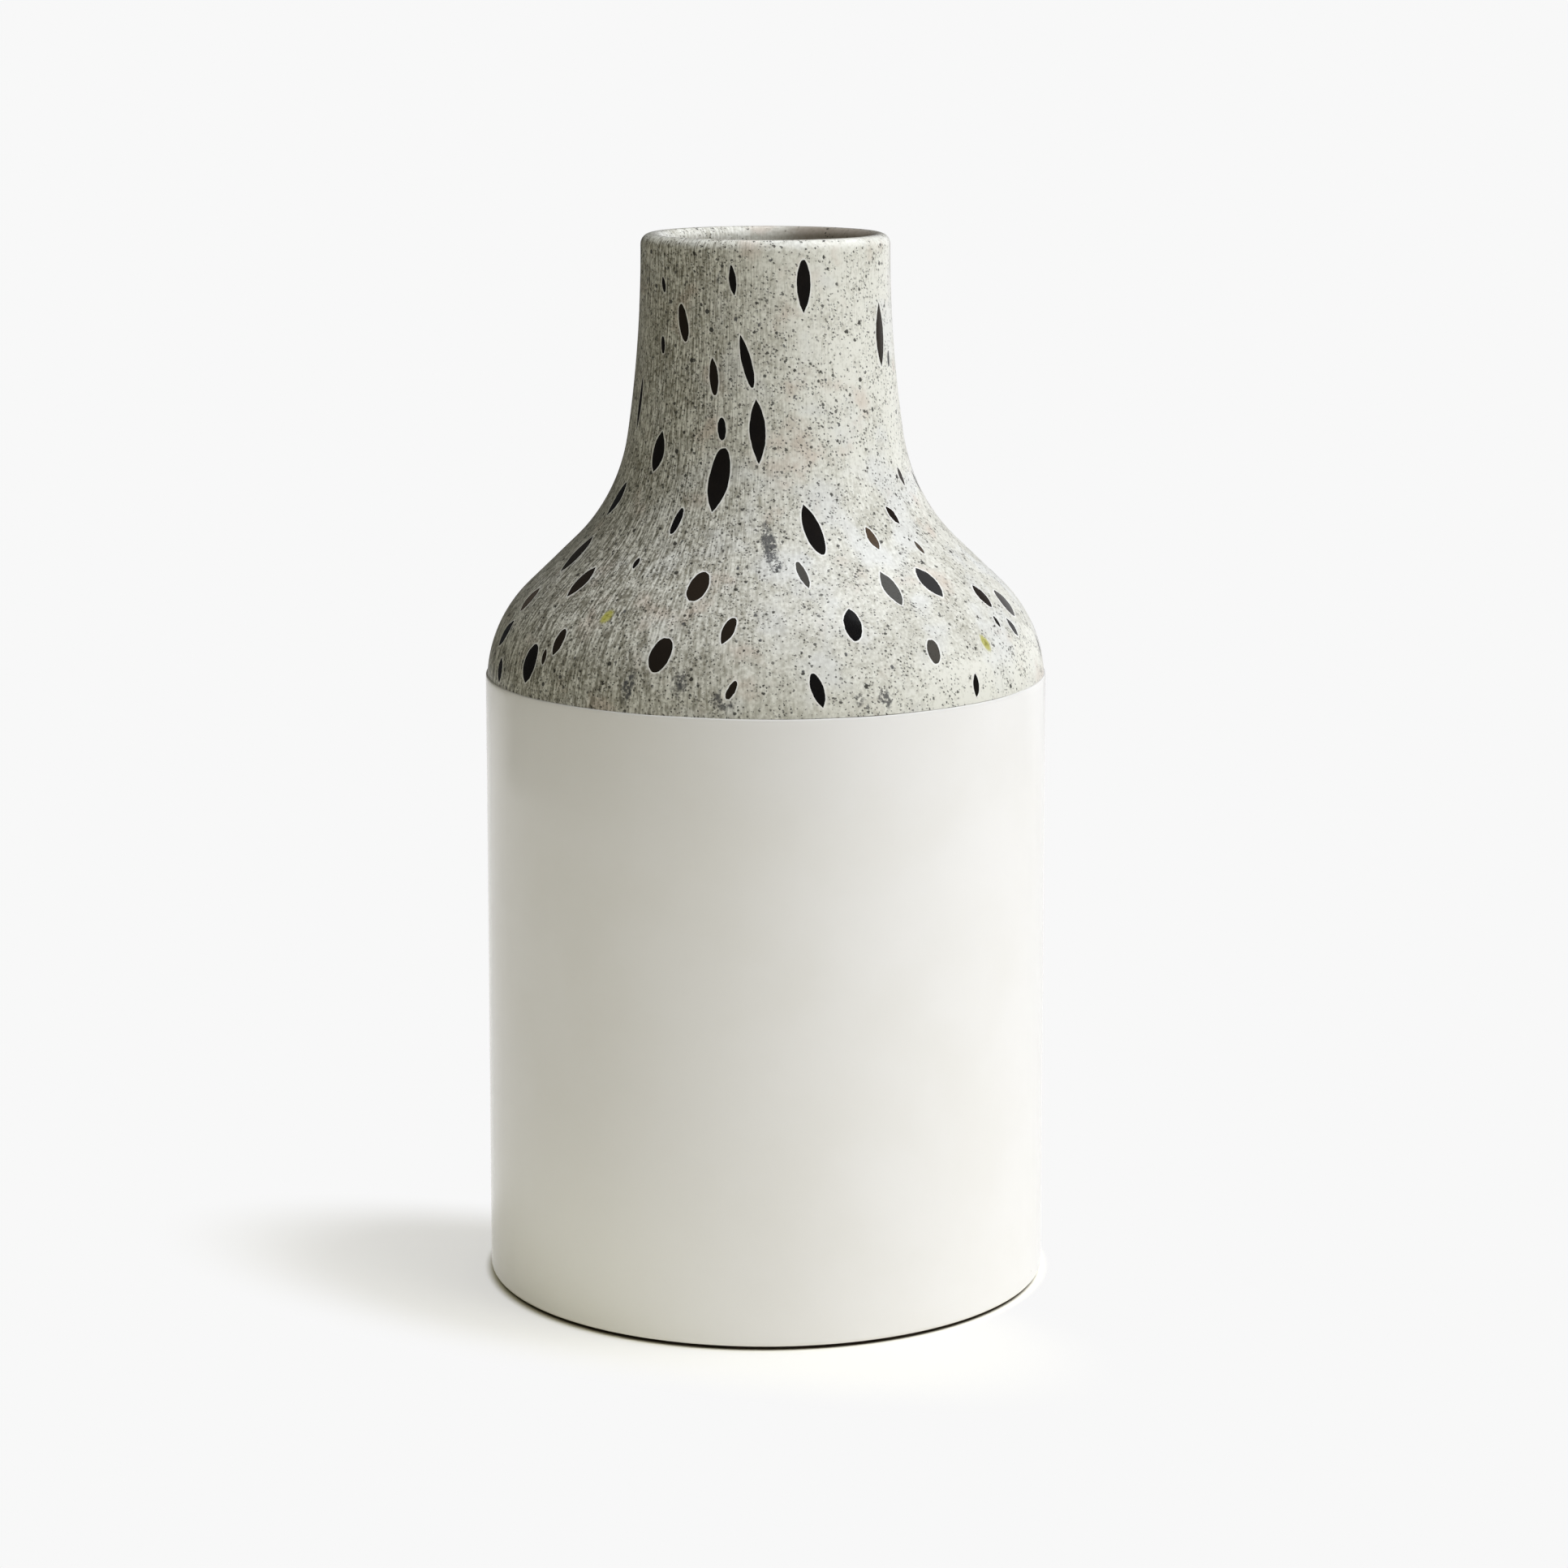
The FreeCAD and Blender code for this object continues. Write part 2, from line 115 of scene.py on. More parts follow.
@dataclass
class Drawing:
    """The vase's drawing: the clay's outer line, its wall, its foot and its glazes."""

    side_radius: float = 78.9
    foot_flare: float = 0.8
    side_height: float = 172.0
    shoulder_radius: float = 37.5
    shoulder_angle: float = 46.2
    slope_length: float = 18.4
    root_radius: float = 52.6
    neck_angle: float = 8.6
    neck_length: float = 53.5
    clay_wall: float = 5.0
    floor_thickness: float = 6.0
    floor_corner_radius: float = 12.0
    foot_edge_radius: float = 0.6
    foot_step: float = 1.0
    foot_recess: float = 2.5
    foot_ring_width: float = 10.0
    foot_ring_inset: float = 2.7
    foot_ring_edge: float = 0.4
    pad_thickness: float = 0.8
    skin: float = 0.5
    white_step: float = 0.4
    seam_rise: float = 2.4
    throat_share: float = 0.75
    line_step: float = 0.25

    def __post_init__(self) -> None:
        """Works out the bends, and the outer line above the seam as a table of spots."""
        self.side_lean = math.degrees(math.atan2(self.foot_flare, self.side_height))
        lean = math.radians(self.side_lean)
        self.underside = self.pad_thickness + self.foot_step
        self.recess_height = self.pad_thickness + self.foot_recess
        self.floor_height = self.recess_height + self.floor_thickness
        self.spring = self.underside + self.side_height
        self.foot_edge = self.corner(self.foot_edge_radius, self.underside, 0.0)
        self.floor_corner = self.corner(self.floor_corner_radius, self.floor_height, self.clay_wall)
        self.shoulder = Bend(self.side_radius - self.shoulder_radius * math.cos(lean),
                             self.spring - self.shoulder_radius * math.sin(lean),
                             self.shoulder_radius, self.side_lean, self.shoulder_angle)
        self.root = self.hollow(self.shoulder.spot(self.shoulder_angle, 0.0), self.slope_length,
                                self.root_radius, self.shoulder_angle, self.neck_angle)
        long_radius = self.neck_length / math.sin(math.radians(self.neck_angle))
        self.neck = self.hollow(self.root.spot(self.neck_angle, 0.0), 0.0, long_radius,
                                self.neck_angle, 0.0)
        self.lip = self.neck.spot(0.0, -self.clay_wall / 2)
        self.seam_lean = self.lean_at(self.seam_rise)
        self.roll_lean = self.lean_at(self.seam_rise - self.white_step)
        throat = self.throat_share * math.sin(math.radians(self.neck_angle))
        self.throat_lean = math.degrees(math.asin(throat))
        self.line = np.array(self.climb_run(0.0, self.line_step))
        self.line_way = way_along(self.line)
        run = np.gradient(self.line, self.line_way, axis=0)
        self.line_normal = np.stack([run[:, 1], -run[:, 0]], axis=1)

    def side_at(self, height: float, offset: float) -> float:
        """Radius of the straight side at a height, offset outwards."""
        flare = (self.spring - height) * self.foot_flare / self.side_height
        return self.side_radius + flare + offset / math.cos(math.radians(self.side_lean))

    def corner(self, radius: float, bottom: float, depth: float) -> Bend:
        """Turn from a level bottom up into a side that lies at that depth in the clay."""
        centre_r = self.side_at(bottom + radius, -depth - radius)
        return Bend(centre_r, bottom + radius, radius + depth, -90.0, self.side_lean)

    def hollow(self, start: Point, straight: float, radius: float, low: float, high: float) -> Bend:
        """Hollow turn that follows on from a point, after a straight run.

        Args:
            start: point where the straight run begins.
            straight: length of the straight run, which may be zero.
            radius: radius of the turn.
            low: lean of the straight run and of the turn's lower end.
            high: lean of its upper end.

        Returns:
            The turn.
        """
        sine, cosine = math.sin(math.radians(low)), math.cos(math.radians(low))
        top_r, top_z = start[0] - straight * sine, start[1] + straight * cosine
        return Bend(top_r + radius * cosine, top_z + radius * sine, -radius, low, high)

    def lean_at(self, rise: float) -> float:
        """Lean of the shoulder at a height above the place where it springs."""
        spring = math.sin(math.radians(self.side_lean))
        return math.degrees(math.asin(spring + rise / self.shoulder_radius))

    def climb_run(self, offset: float, step: float) -> list[Point]:
        """Points from the seam up to the lip, the slope's straight run filled in.

        Args:
            offset: distance outwards from the clay's outer line.
            step: longest distance between two points.

        Returns:
            The points, both ends included.
        """
        low = self.shoulder.run(offset, step, low=self.seam_lean)
        high = self.root.run(offset, step)
        slope = between(low[-1], high[0], max(1, math.ceil(self.slope_length / step)))
        return low + slope + high + self.neck.run(offset, step)[1:]

    def lip_run(self, growth: float, steps: int) -> list[Point]:
        """Points over the lip from the outside to the inside, grown by a glaze."""
        turn = Bend(*self.lip, self.clay_wall / 2, 0.0, 180.0)
        return turn.points(growth, turn.low, turn.high, steps)

    def inside_run(self, depth: float, step: float) -> list[Point]:
        """Points down the inside from the lip to the floor's corner, at a depth below the outer line."""
        bends = (self.floor_corner, self.shoulder, self.root, self.neck)
        return [point for bend in bends for point in bend.run(-depth, step)][::-1]


def way_along(line: np.ndarray) -> np.ndarray:
    """How far each point of a line lies from its first, along it."""
    return np.concatenate([[0.0], np.cumsum(np.hypot(*np.diff(line, axis=0).T))])


DRAWING = Drawing()


# Meshes


def mesh_object(name: str, points: np.ndarray, faces: list[Face]) -> bpy.types.Object:
    """Makes a smooth mesh object and links it to the scene.

    Args:
        name: the piece's name.
        points: the corners, in millimetres.
        faces: the corners of each face, in order.

    Returns:
        The object.
    """
    mesh = bpy.data.meshes.new(name)
    mesh.from_pydata((points * MILLIMETRE).tolist(), [], faces)
    mesh.shade_smooth()
    mesh.update()
    made = bpy.data.objects.new(name, mesh)
    bpy.context.scene.collection.objects.link(made)
    return made


def add_values(piece: bpy.types.Object, name: str, values: np.ndarray) -> None:
    """Stores one number for each corner of a piece, for its finish to read."""
    attribute = piece.data.attributes.new(name, "FLOAT", "POINT")
    attribute.data.foreach_set("value", np.asarray(values, np.float32))


def full_turn(count: int) -> np.ndarray:
    """That many angles, evenly spread over a full turn."""
    return np.arange(count) * 2 * math.pi / count


def bridge(low: list[int], high: list[int]) -> list[Face]:
    """Faces between two loops of corners, either of which may be a single corner.

    Args:
        low: numbers of the first loop's corners.
        high: numbers of the second loop's corners.

    Returns:
        The faces, in the loops' order.
    """
    count = max(len(low), len(high))
    faces: list[Face] = []
    for n in range(count):
        m = (n + 1) % count
        if len(low) == 1:
            faces.append((low[0], high[m], high[n]))
        elif len(high) == 1:
            faces.append((low[n], low[m], high[0]))
        else:
            faces.append((low[n], low[m], high[m], high[n]))
    return faces


@dataclass
class Turning:
    """A piece turned about the vase's axis from one section."""

    name: str
    section: list[Point]
    closed: bool
    segments: int = 384
    sharp_angle: float = 32.0

    def build(self, rise: Union[np.ndarray, None] = None) -> bpy.types.Object:
        """Turns the section.

        Args:
            rise: how far each point of each ring moves up, in millimetres, or None.

        Returns:
            The turned piece.
        """
        angles = full_turn(self.segments)
        shifts = np.zeros((len(self.section), self.segments)) if rise is None else rise
        rings: list[list[int]] = []
        points: list[np.ndarray] = []
        count = 0
        for (radius, height), shift in zip(self.section, shifts):
            if radius <= 0:
                points.append(np.array([[0.0, 0.0, height]]))
            else:
                ring = [radius * np.sin(angles), -radius * np.cos(angles), height + shift]
                points.append(np.stack(ring, axis=1))
            rings.append(list(range(count, count + len(points[-1]))))
            count += len(points[-1])
        above = rings[1:] + rings[:1] if self.closed else rings[1:]
        faces = [face for low, high in zip(rings, above) for face in bridge(low, high)]
        piece = mesh_object(self.name, np.concatenate(points), faces)
        piece.data.set_sharp_from_angle(angle=math.radians(self.sharp_angle))
        return piece

    def spread(self, values: Union[list[float], np.ndarray]) -> np.ndarray:
        """One value for each point of the section, repeated round its ring."""
        return np.repeat(values, [1 if point[0] <= 0 else self.segments for point in self.section])


@dataclass
class Mark:
    """One mark on the speckled glaze.

    Its place is an angle to the right of the front, in degrees, and a way up the outer line from the
    seam. Its outline is of (across, along) distances in millimetres from there: across runs round the
    vase to the right, and along climbs the outer line.
    """

    around: float
    climb: float
    outline: np.ndarray

    def outwards(self) -> np.ndarray:
        """Outward direction at each point of the outline.

        Returns:
            The directions, each of length one.
        """
        run = np.roll(self.outline, -1, axis=0) - np.roll(self.outline, 1, axis=0)
        side = np.stack([run[:, 1], -run[:, 0]], axis=1)
        return side / np.maximum(1e-9, np.linalg.norm(side, axis=1))[:, None]

    def grown(self, distance: float) -> np.ndarray:
        """The outline, moved outwards."""
        return self.outline + self.outwards() * distance

    def span(self) -> float:
        """Width of the outline."""
        return float(np.ptp(self.outline[:, 0]))

    def tip_share(self) -> np.ndarray:
        """How near each point of the outline is to the mark's ends, up to one."""
        reach = np.linalg.norm(self.outline, axis=1)
        return np.clip(reach / reach.max(), 0, 1) ** 4


# A loop of a single spot, the numbers where no mark shows, and the rings of a lens as shares of its rim.
MIDDLE = np.zeros((1, 2))
PLAIN ={"halo": 0.0, "smudge": 0.0, "stain": 0.0}
LENS_RINGS = (0.15, 0.3, 0.45, 0.6, 0.75, 0.88, 1.0)


class Layer:
    """Closed chips that lie on the speckled glaze, gathered into one piece."""

    def __init__(self, name: str) -> None:
        """Starts an empty layer.

        Args:
            name: name of the piece that it becomes.
        """
        self.name = name
        self.points: list[np.ndarray] = []
        self.normals: list[np.ndarray] = []
        self.faces: list[Face] = []
        self.values: dict[str, list[np.ndarray]] = {}
        self.count = 0

    def lay(self, mark: Mark, spots: np.ndarray, lift: float) -> list[int]:
        """Lays spots on the glaze.

        Args:
            mark: the mark whose place they lie round.
            spots: (across, along) distances from that place.
            lift: height above the glaze.

        Returns:
            The numbers of the new corners.
        """
        d = DRAWING
        way = np.clip(mark.climb + spots[:, 1], 0.0, d.line_way[-1])
        radius, height, out, up = (np.interp(way, d.line_way, column)
                                   for column in (*d.line.T, *d.line_normal.T))
        size = np.hypot(out, up)
        out, up = out / size, up / size
        angle = math.radians(mark.around) + spots[:, 0] / (radius + d.skin * out)
        r, z = radius + (d.skin + lift) * out, height + (d.skin + lift) * up
        self.points.append(np.stack([r * np.sin(angle), -r * np.cos(angle), z], axis=1))
        self.normals.append(np.stack([out * np.sin(angle), -out * np.cos(angle), up], axis=1))
        self.count += len(spots)
        return list(range(self.count - len(spots), self.count))

    def add_chip(self, mark: Mark, loops: list[Loop], closed: bool = False) -> None:
        """Adds a chip.

        Args:
            mark: the mark whose place it lies round.
            loops: spots of each loop, their height above the glaze, and the numbers for the finish.
            closed: whether the last loop joins the first one.
        """
        rings = []
        for spots, lift, values in loops:
            rings.append(self.lay(mark, spots, lift))
            for name, number in dict(values, climb=mark.climb + spots[:, 1]).items():
                self.values.setdefault(name, []).append(np.broadcast_to(number, len(spots)))
        ends = rings[1:] + rings[:1] if closed else rings[1:]
        for low, high in zip(rings, ends):
            self.faces += [(face[0], *face[:0:-1]) for face in bridge(low, high)]

    def add_lens(self, mark: Mark, lift: float, depth: float, name: str, strength: float) -> None:
        """Adds a lens that fades out towards its rim.

        Args:
            mark: its place and its rim.
            lift: height above the glaze.
            depth: depth of its underside.
            name: the number that fades.
            strength: that number at the middle.
        """
        loops = [(MIDDLE, lift, dict(PLAIN, **{name: strength}))]
        for share in LENS_RINGS:
            fade = (1 - share ** 2) ** 1.5
            loops.append((mark.outline * share, lift, dict(PLAIN, **{name: strength * fade})))
        loops += [(mark.outline * share, -depth, PLAIN) for share in LENS_RINGS[::-1]]
        self.add_chip(mark, loops + [(MIDDLE, -depth, PLAIN)])

    def build(self) -> bpy.types.Object:
        """Makes the piece, shaded like the glaze that it lies on.

        Returns:
            The piece.
        """
        piece = mesh_object(self.name, np.concatenate(self.points), self.faces)
        piece.data.normals_split_custom_set_from_vertices(np.concatenate(self.normals).tolist())
        for name, parts in self.values.items():
            add_values(piece, name, np.concatenate(parts))
        return piece


# Shader maths


def sign(operation: str, swapped: bool = False) -> Callable[["Wire", Value], "Wire"]:
    """Makes the method behind one of Python's signs.

    Args:
        operation: the Math node's operation.
        swapped: whether the other number comes first.

    Returns:
        The method.
    """

    def method(wire: "Wire", other: Value) -> "Wire":
        """One step of arithmetic with another number."""
        return wire.bench.maths(operation, *((other, wire) if swapped else (wire, other)))

    return method


class Wire:
    """A number that runs through a material's nodes, and that Python's own signs work on."""

    __add__, __radd__ = sign("ADD"), sign("ADD", swapped=True)
    __sub__, __rsub__ = sign("SUBTRACT"), sign("SUBTRACT", swapped=True)
    __mul__, __rmul__ = sign("MULTIPLY"), sign("MULTIPLY", swapped=True)
    __truediv__, __rtruediv__ = sign("DIVIDE"), sign("DIVIDE", swapped=True)
    __lt__, __gt__ = sign("LESS_THAN"), sign("GREATER_THAN")

    def __init__(self, bench: "Bench", socket: bpy.types.NodeSocket) -> None:
        """Wraps the output of a node."""
        self.bench = bench
        self.socket = socket

    def rise(self, low: float, high: float) -> "Wire":
        """Soft step from zero at the low value to one at the high value."""
        sockets = {"Value": self, "From Min": low, "From Max": high}
        return self.bench.wire("ShaderNodeMapRange", {"interpolation_type": "SMOOTHSTEP"}, sockets)

    def fall(self, low: float, high: float) -> "Wire":
        """Soft step from one at the low value to zero at the high value."""
        return 1.0 - self.rise(low, high)


class Bench:
    """Builds one tree of nodes."""

    def __init__(self, tree: bpy.types.NodeTree) -> None:
        """Clears the tree."""
        self.tree = tree
        tree.nodes.clear()

    def node(self, kind: str, settings: dict, sockets: dict) -> bpy.types.Node:
        """Adds a node.

        Args:
            kind: the node's type.
            settings: its settings, which are set first.
            sockets: values or wires for its inputs, by name or number.

        Returns:
            The node.
        """
        made = self.tree.nodes.new(kind)
        for name, value in settings.items():
            setattr(made, name, value)
        for name, value in sockets.items():
            if isinstance(value, Wire):
                self.tree.links.new(value.socket, made.inputs[name])
            else:
                made.inputs[name].default_value = value
        return made

    def wire(self, kind: str, settings: dict, sockets: dict, output: Union[int, str] = 0) -> Wire:
        """Adds a node and gives one of its outputs."""
        return Wire(self, self.node(kind, settings, sockets).outputs[output])

    def maths(self, operation: str, first: Value, second: Value = 0.0) -> Wire:
        """One step of arithmetic."""
        return self.wire("ShaderNodeMath", {"operation": operation}, {0: first, 1: second})

    def most(self, first: Value, *others: Value) -> Wire:
        """The largest of some numbers."""
        return reduce(lambda largest, other: self.maths("MAXIMUM", largest, other), others, first)

    def vector(self, operation: str, sockets: dict) -> Wire:
        """One step of vector arithmetic."""
        return self.wire("ShaderNodeVectorMath", {"operation": operation}, sockets)

    def blend(self, share: Value, first: Union[Wire, Colour], second: Union[Wire, Colour]) -> Wire:
        """A colour between two others."""
        low, high = (end if isinstance(end, Wire) else (*end, 1.0) for end in (first, second))
        return self.wire("ShaderNodeMix", {"data_type": "RGBA"}, {0: share, 6: low, 7: high}, 2)

    def place(self) -> Wire:
        """Place on the piece, in millimetres."""
        made = self.wire("ShaderNodeTexCoord", {}, {}, "Object")
        return self.vector("SCALE", {0: made, "Scale": 1 / MILLIMETRE})

    def mixed(self, share: Wire, first: Wire, second: Wire) -> Wire:
        """A shader between two others."""
        return self.wire("ShaderNodeMixShader", {}, {0: share, 1: first, 2: second})

    def glow(self, kind: str, colour: Colour, strength: Value) -> Wire:
        """A shader that shines by itself."""
        return self.wire(kind, {}, {"Color": (*colour, 1.0), "Strength": strength})

    def parts(self, vector: Wire) -> tuple[Wire, Wire, Wire]:
        """The three numbers of a vector."""
        made = self.node("ShaderNodeSeparateXYZ", {}, {0: vector})
        return Wire(self, made.outputs[0]), Wire(self, made.outputs[1]), Wire(self, made.outputs[2])

    def joined(self, x: Value, y: Value, z: Value) -> Wire:
        """A vector of three numbers."""
        return self.wire("ShaderNodeCombineXYZ", {}, {0: x, 1: y, 2: z})

    def stored(self, name: str) -> Wire:
        """Number stored on the mesh under that name."""
        settings = {"attribute_type": "GEOMETRY", "attribute_name": name}
        return self.wire("ShaderNodeAttribute", settings, {}, "Fac")

    def noise(self, place: Wire, grain: float, detail: float = 2.0,
              shift: Union[Triple, None] = None) -> Wire:
        """Cloudy noise about one half.

        Args:
            place: where on the piece.
            grain: size of its features, in millimetres.
            detail: how many finer layers it has.
            shift: how far the place is moved first, or None.

        Returns:
            The noise.
        """
        where = self.vector("ADD", {0: place, 1: shift}) if shift else place
        sockets = {"Vector": where, "Scale": 1 / grain, "Detail": detail}
        return self.wire("ShaderNodeTexNoise", {}, sockets)

    def cells(self, place: Wire, size: float) -> tuple[Wire, Wire, Wire]:
        """Scattered spots, one to a cell of that many millimetres.

        Args:
            place: where on the piece.
            size: width of a cell.

        Returns:
            The distance from the nearest spot in cell widths, and two random numbers of its cell.
        """
        made = self.node("ShaderNodeTexVoronoi", {}, {"Vector": place, "Scale": 1 / size})
        chance, tint, _ = self.parts(Wire(self, made.outputs["Color"]))
        return Wire(self, made.outputs["Distance"]), chance, tint

    def bump(self, height: Wire, strength: float, depth: float) -> Wire:
        """Surface direction with that relief, of a depth in millimetres."""
        sockets = {"Strength": strength, "Distance": depth * MILLIMETRE, "Height": height}
        return self.wire("ShaderNodeBump", {}, sockets)

    def surface(self, colour: Wire, roughness: Wire, normal: Wire, **constants: float) -> None:
        """Ends the tree in a plain shader.

        Args:
            colour: its base colour.
            roughness: its roughness.
            normal: its surface direction.
            constants: numbers for other sockets, whose names have underscores here for spaces.
        """
        sockets = {"Base Color": colour, "Roughness": roughness, "Normal": normal}
        sockets.update({name.replace("_", " "): number for name, number in constants.items()})
        self.output(self.wire("ShaderNodeBsdfPrincipled", {}, sockets))

    def output(self, shader: Wire, kind: str = "ShaderNodeOutputMaterial") -> None:
        """Ends the tree in that shader."""
        self.node(kind, {}, {0: shader})


def new_material(name: str) -> tuple[bpy.types.Material, Bench, Wire]:
    """Starts a material.

    Args:
        name: its name.

    Returns:
        The material, the bench that builds its nodes, and the place on the piece.
    """
    material = bpy.data.materials.new(name)
    material.use_nodes = True
    bench = Bench(material.node_tree)
    return material, bench, bench.place()


# Finishes


@dataclass(frozen=True)
class WhiteGlaze:
    """Thick glossy white glaze with a faint undulation, a few grains of kiln dust, painted shade on the top
    of its roll and painted bounce light low at the left.
    """

    name: str = "white_glaze"
    white: Colour = (0.862, 0.848, 0.842)
    cloud: Colour = (0.840, 0.824, 0.808)
    # Painted shade for the top of the roll at the seam.
    rolled: Colour = (0.62, 0.605, 0.57)
    # Painted bounce light, lightest low at the left.
    thick_and_painted_bounce: Colour = (0.955, 0.945, 0.925)
    dust: Colour = (0.42, 0.37, 0.30)
    gloss: float = 0.09
    painted_bounce_height: Point = (10.0, 75.0)
    painted_bounce_side: Point = (-60.0, 10.0)
    dust_cell: float = 19.0
    dust_share: float = 0.22

    def material(self) -> bpy.types.Material:
        """Builds the glaze.

        Returns:
            The material.
        """
        material, bench, place = new_material(self.name)
        clouding = bench.noise(place, 34.0, 3.0).rise(0.35, 0.75)
        distance, chance, _ = bench.cells(place, self.dust_cell)
        dust = distance.fall(0.008, 0.016) * (chance < self.dust_share)
        colour = bench.blend(clouding, self.white, self.cloud)
        # Painted shade: the top of the roll at the seam is darkened where light falls on it.
        colour = bench.blend(bench.stored("edge"), colour, self.rolled)
        x, _, height = bench.parts(place)
        # Painted bounce light: low at the left the white is lightened as if lit from the table.
        thick_and_painted_bounce = height.fall(*self.painted_bounce_height) * x.fall(*self.painted_bounce_side)
        colour = bench.blend(thick_and_painted_bounce, colour, self.thick_and_painted_bounce)
        colour = bench.blend(dust * 0.7, colour, self.dust)
        relief = bench.noise(place, 26.0, 1.0) + bench.noise(place, 1.6, 1.0) * 0.006
        bench.surface(colour, self.gloss + clouding * 0.03, bench.bump(relief, 0.5, 0.12))
        return material


@dataclass(frozen=True)
class Grain:
    """One size of pepper grain.

    It has one grain at most to a cell, which fades from its core to its rim, both in cell widths. Its
    share is how many of the cells hold one, against the density, and the weakest has that darkness.
    """

    cell: float
    core: float
    rim: float
    share: float
    weakest: float


@dataclass(frozen=True)
class SpeckledGlaze:
    """Cream glaze peppered with iron, with grey clouds, streaks that run down it, soft stains, and painted
    light and shade.
    """

    name: str = "speckled_glaze"
    cream: Colour = (0.76, 0.75, 0.68)
    ash: Colour = (0.37, 0.352, 0.285)
    # Painted shade, laid in streaks over the left side.
    streaky_painted_shade: Colour = (0.135, 0.126, 0.095)
    mist: Colour = (0.70, 0.71, 0.71)
    rust: Colour = (0.55, 0.43, 0.35)
    # Painted shade for the right of the inside of the mouth.
    painted_throat_shade: Colour = (0.16, 0.12, 0.085)
    pepper: Colour = (0.020, 0.018, 0.014)
    pale_rim: Colour = (0.86, 0.85, 0.82)
    smoke: Colour = (0.058, 0.059, 0.063)
    ochre: Colour = (0.42, 0.40, 0.07)
    olive: Colour = (0.20, 0.18, 0.03)
    gloss: float = 0.10
    neck_radius: float = 38.0
    streak_width: float = 0.42
    streak_length: float = 4.5
    sizes: tuple[Grain, ...] = (
        Grain(0.88, 0.27, 0.37, 1.0, 0.50),
        Grain(2.5, 0.16, 0.21, 0.8, 0.80),
        Grain(5.2, 0.11, 0.14, 0.7, 1.0),
    )

    def grains(self, bench: Bench, place: Wire, density: Wire) -> Wire:
        """How dark the pepper is at a place.

        Args:
            bench: where the nodes go.
            place: where on the piece.
            density: share of the grains that are there.

        Returns:
            Zero between the grains, up to one in the darkest.
        """
        wobble = bench.noise(place, 0.5, 2.0)
        near = bench.vector("ADD", {0: place, 1: bench.joined(wobble, wobble * 0.8, wobble * -0.9)})
        found = []
        for size in self.sizes:
            distance, chance, tint = bench.cells(near, size.cell)
            there = distance.fall(size.core, size.rim) * (chance < density * size.share)
            found.append(there * (size.weakest + tint * (1 - size.weakest)))
        return bench.most(*found)

    def colour(self, bench: Bench, place: Wire) -> tuple[Wire, Wire]:
        """Colour of the glaze, with painted shade on its left and in the mouth and painted light on its
        right, and how dark its pepper is.

        Args:
            bench: where the nodes go.
            place: where on the piece.

        Returns:
            The colour and the pepper.
        """
        climb, halo, smudge = (bench.stored(name) for name in ("climb", "halo", "smudge"))
        x, y, _ = bench.parts(place)
        right, back, _ = bench.parts(bench.vector("NORMALIZE", {0: bench.joined(x, y, 0.0)}))
        width = self.neck_radius / self.streak_width
        flow = bench.joined(right * width, back * width, climb / self.streak_length)
        streak = bench.noise(flow, 1.0, 3.0) - 0.5
        grit = bench.noise(place, 1.0, 4.0) - 0.5
        cloud = bench.noise(place, 12.0, 4.0)
        patch = bench.noise(place, 4.5, 3.0, (-40.0, 11.0, 5.0))
        misty = bench.noise(place, 15.0, 2.0).rise(0.50, 0.70)
        rusty = bench.noise(place, 13.0, 3.0, (70.0, 30.0, 9.0)).rise(0.56, 0.74)

        # Painted light and shade by side: the left is painted darker as if in shade, the right lighter as if
        # lit.
        painted_shade_side, painted_light_side = right.fall(-0.85, 0.30), right.rise(-0.1, 0.7)
        low, slope = climb.fall(8.0, 18.0), climb.rise(10.0, 22.0) * climb.fall(60.0, 86.0)
        neck, lip = climb.rise(25.0, 75.0) * climb.fall(126.0, 133.0), climb.rise(130.0, 136.0)
        misty = misty * (0.45 - painted_shade_side * 0.25)

        # Grey clouding: real clouds, patches, streaks and grit, plus painted shade on the left side; darker
        # low on the shoulder; on the right, painted shade on the slope and painted light low down and on the
        # neck.
        shade = cloud.rise(0.40, 0.66) * 0.16 + patch.rise(0.42, 0.66) * 0.16 + neck * 0.10 + 0.08
        shade = shade + streak * (0.5 + neck * 0.6 + painted_shade_side * 1.9) + grit * 1.5 + painted_shade_side * 0.24
        shade = shade + climb.fall(45.0, 85.0) * (0.25 - painted_light_side * 0.14)
        shade = shade + painted_light_side * (slope * 0.24 - low * 0.20 - neck * 0.16 - 0.06)
        shade = shade + neck * climb.rise(80.0, 100.0) * painted_shade_side * 0.15
        colour = bench.blend(shade, self.cream, self.ash)
        colour = bench.blend(misty, colour, self.mist)
        colour = bench.blend(rusty * 0.45, colour, self.rust)
        # Painted shade on the right inside the mouth, where the rim shades it.
        painted_throat_shade = climb.rise(136.5, 141.0) * right.rise(-0.15, 0.45)
        colour = bench.blend(painted_throat_shade * 0.8, colour, self.painted_throat_shade)
        # Painted shade: streaky darkening over the left side, up to the lip.
        streaky_painted_shade = painted_shade_side * climb.fall(134.0, 140.0) * (0.30 + grit * 2.0 + streak * 3.4)
        colour = bench.blend(streaky_painted_shade, colour, self.streaky_painted_shade)

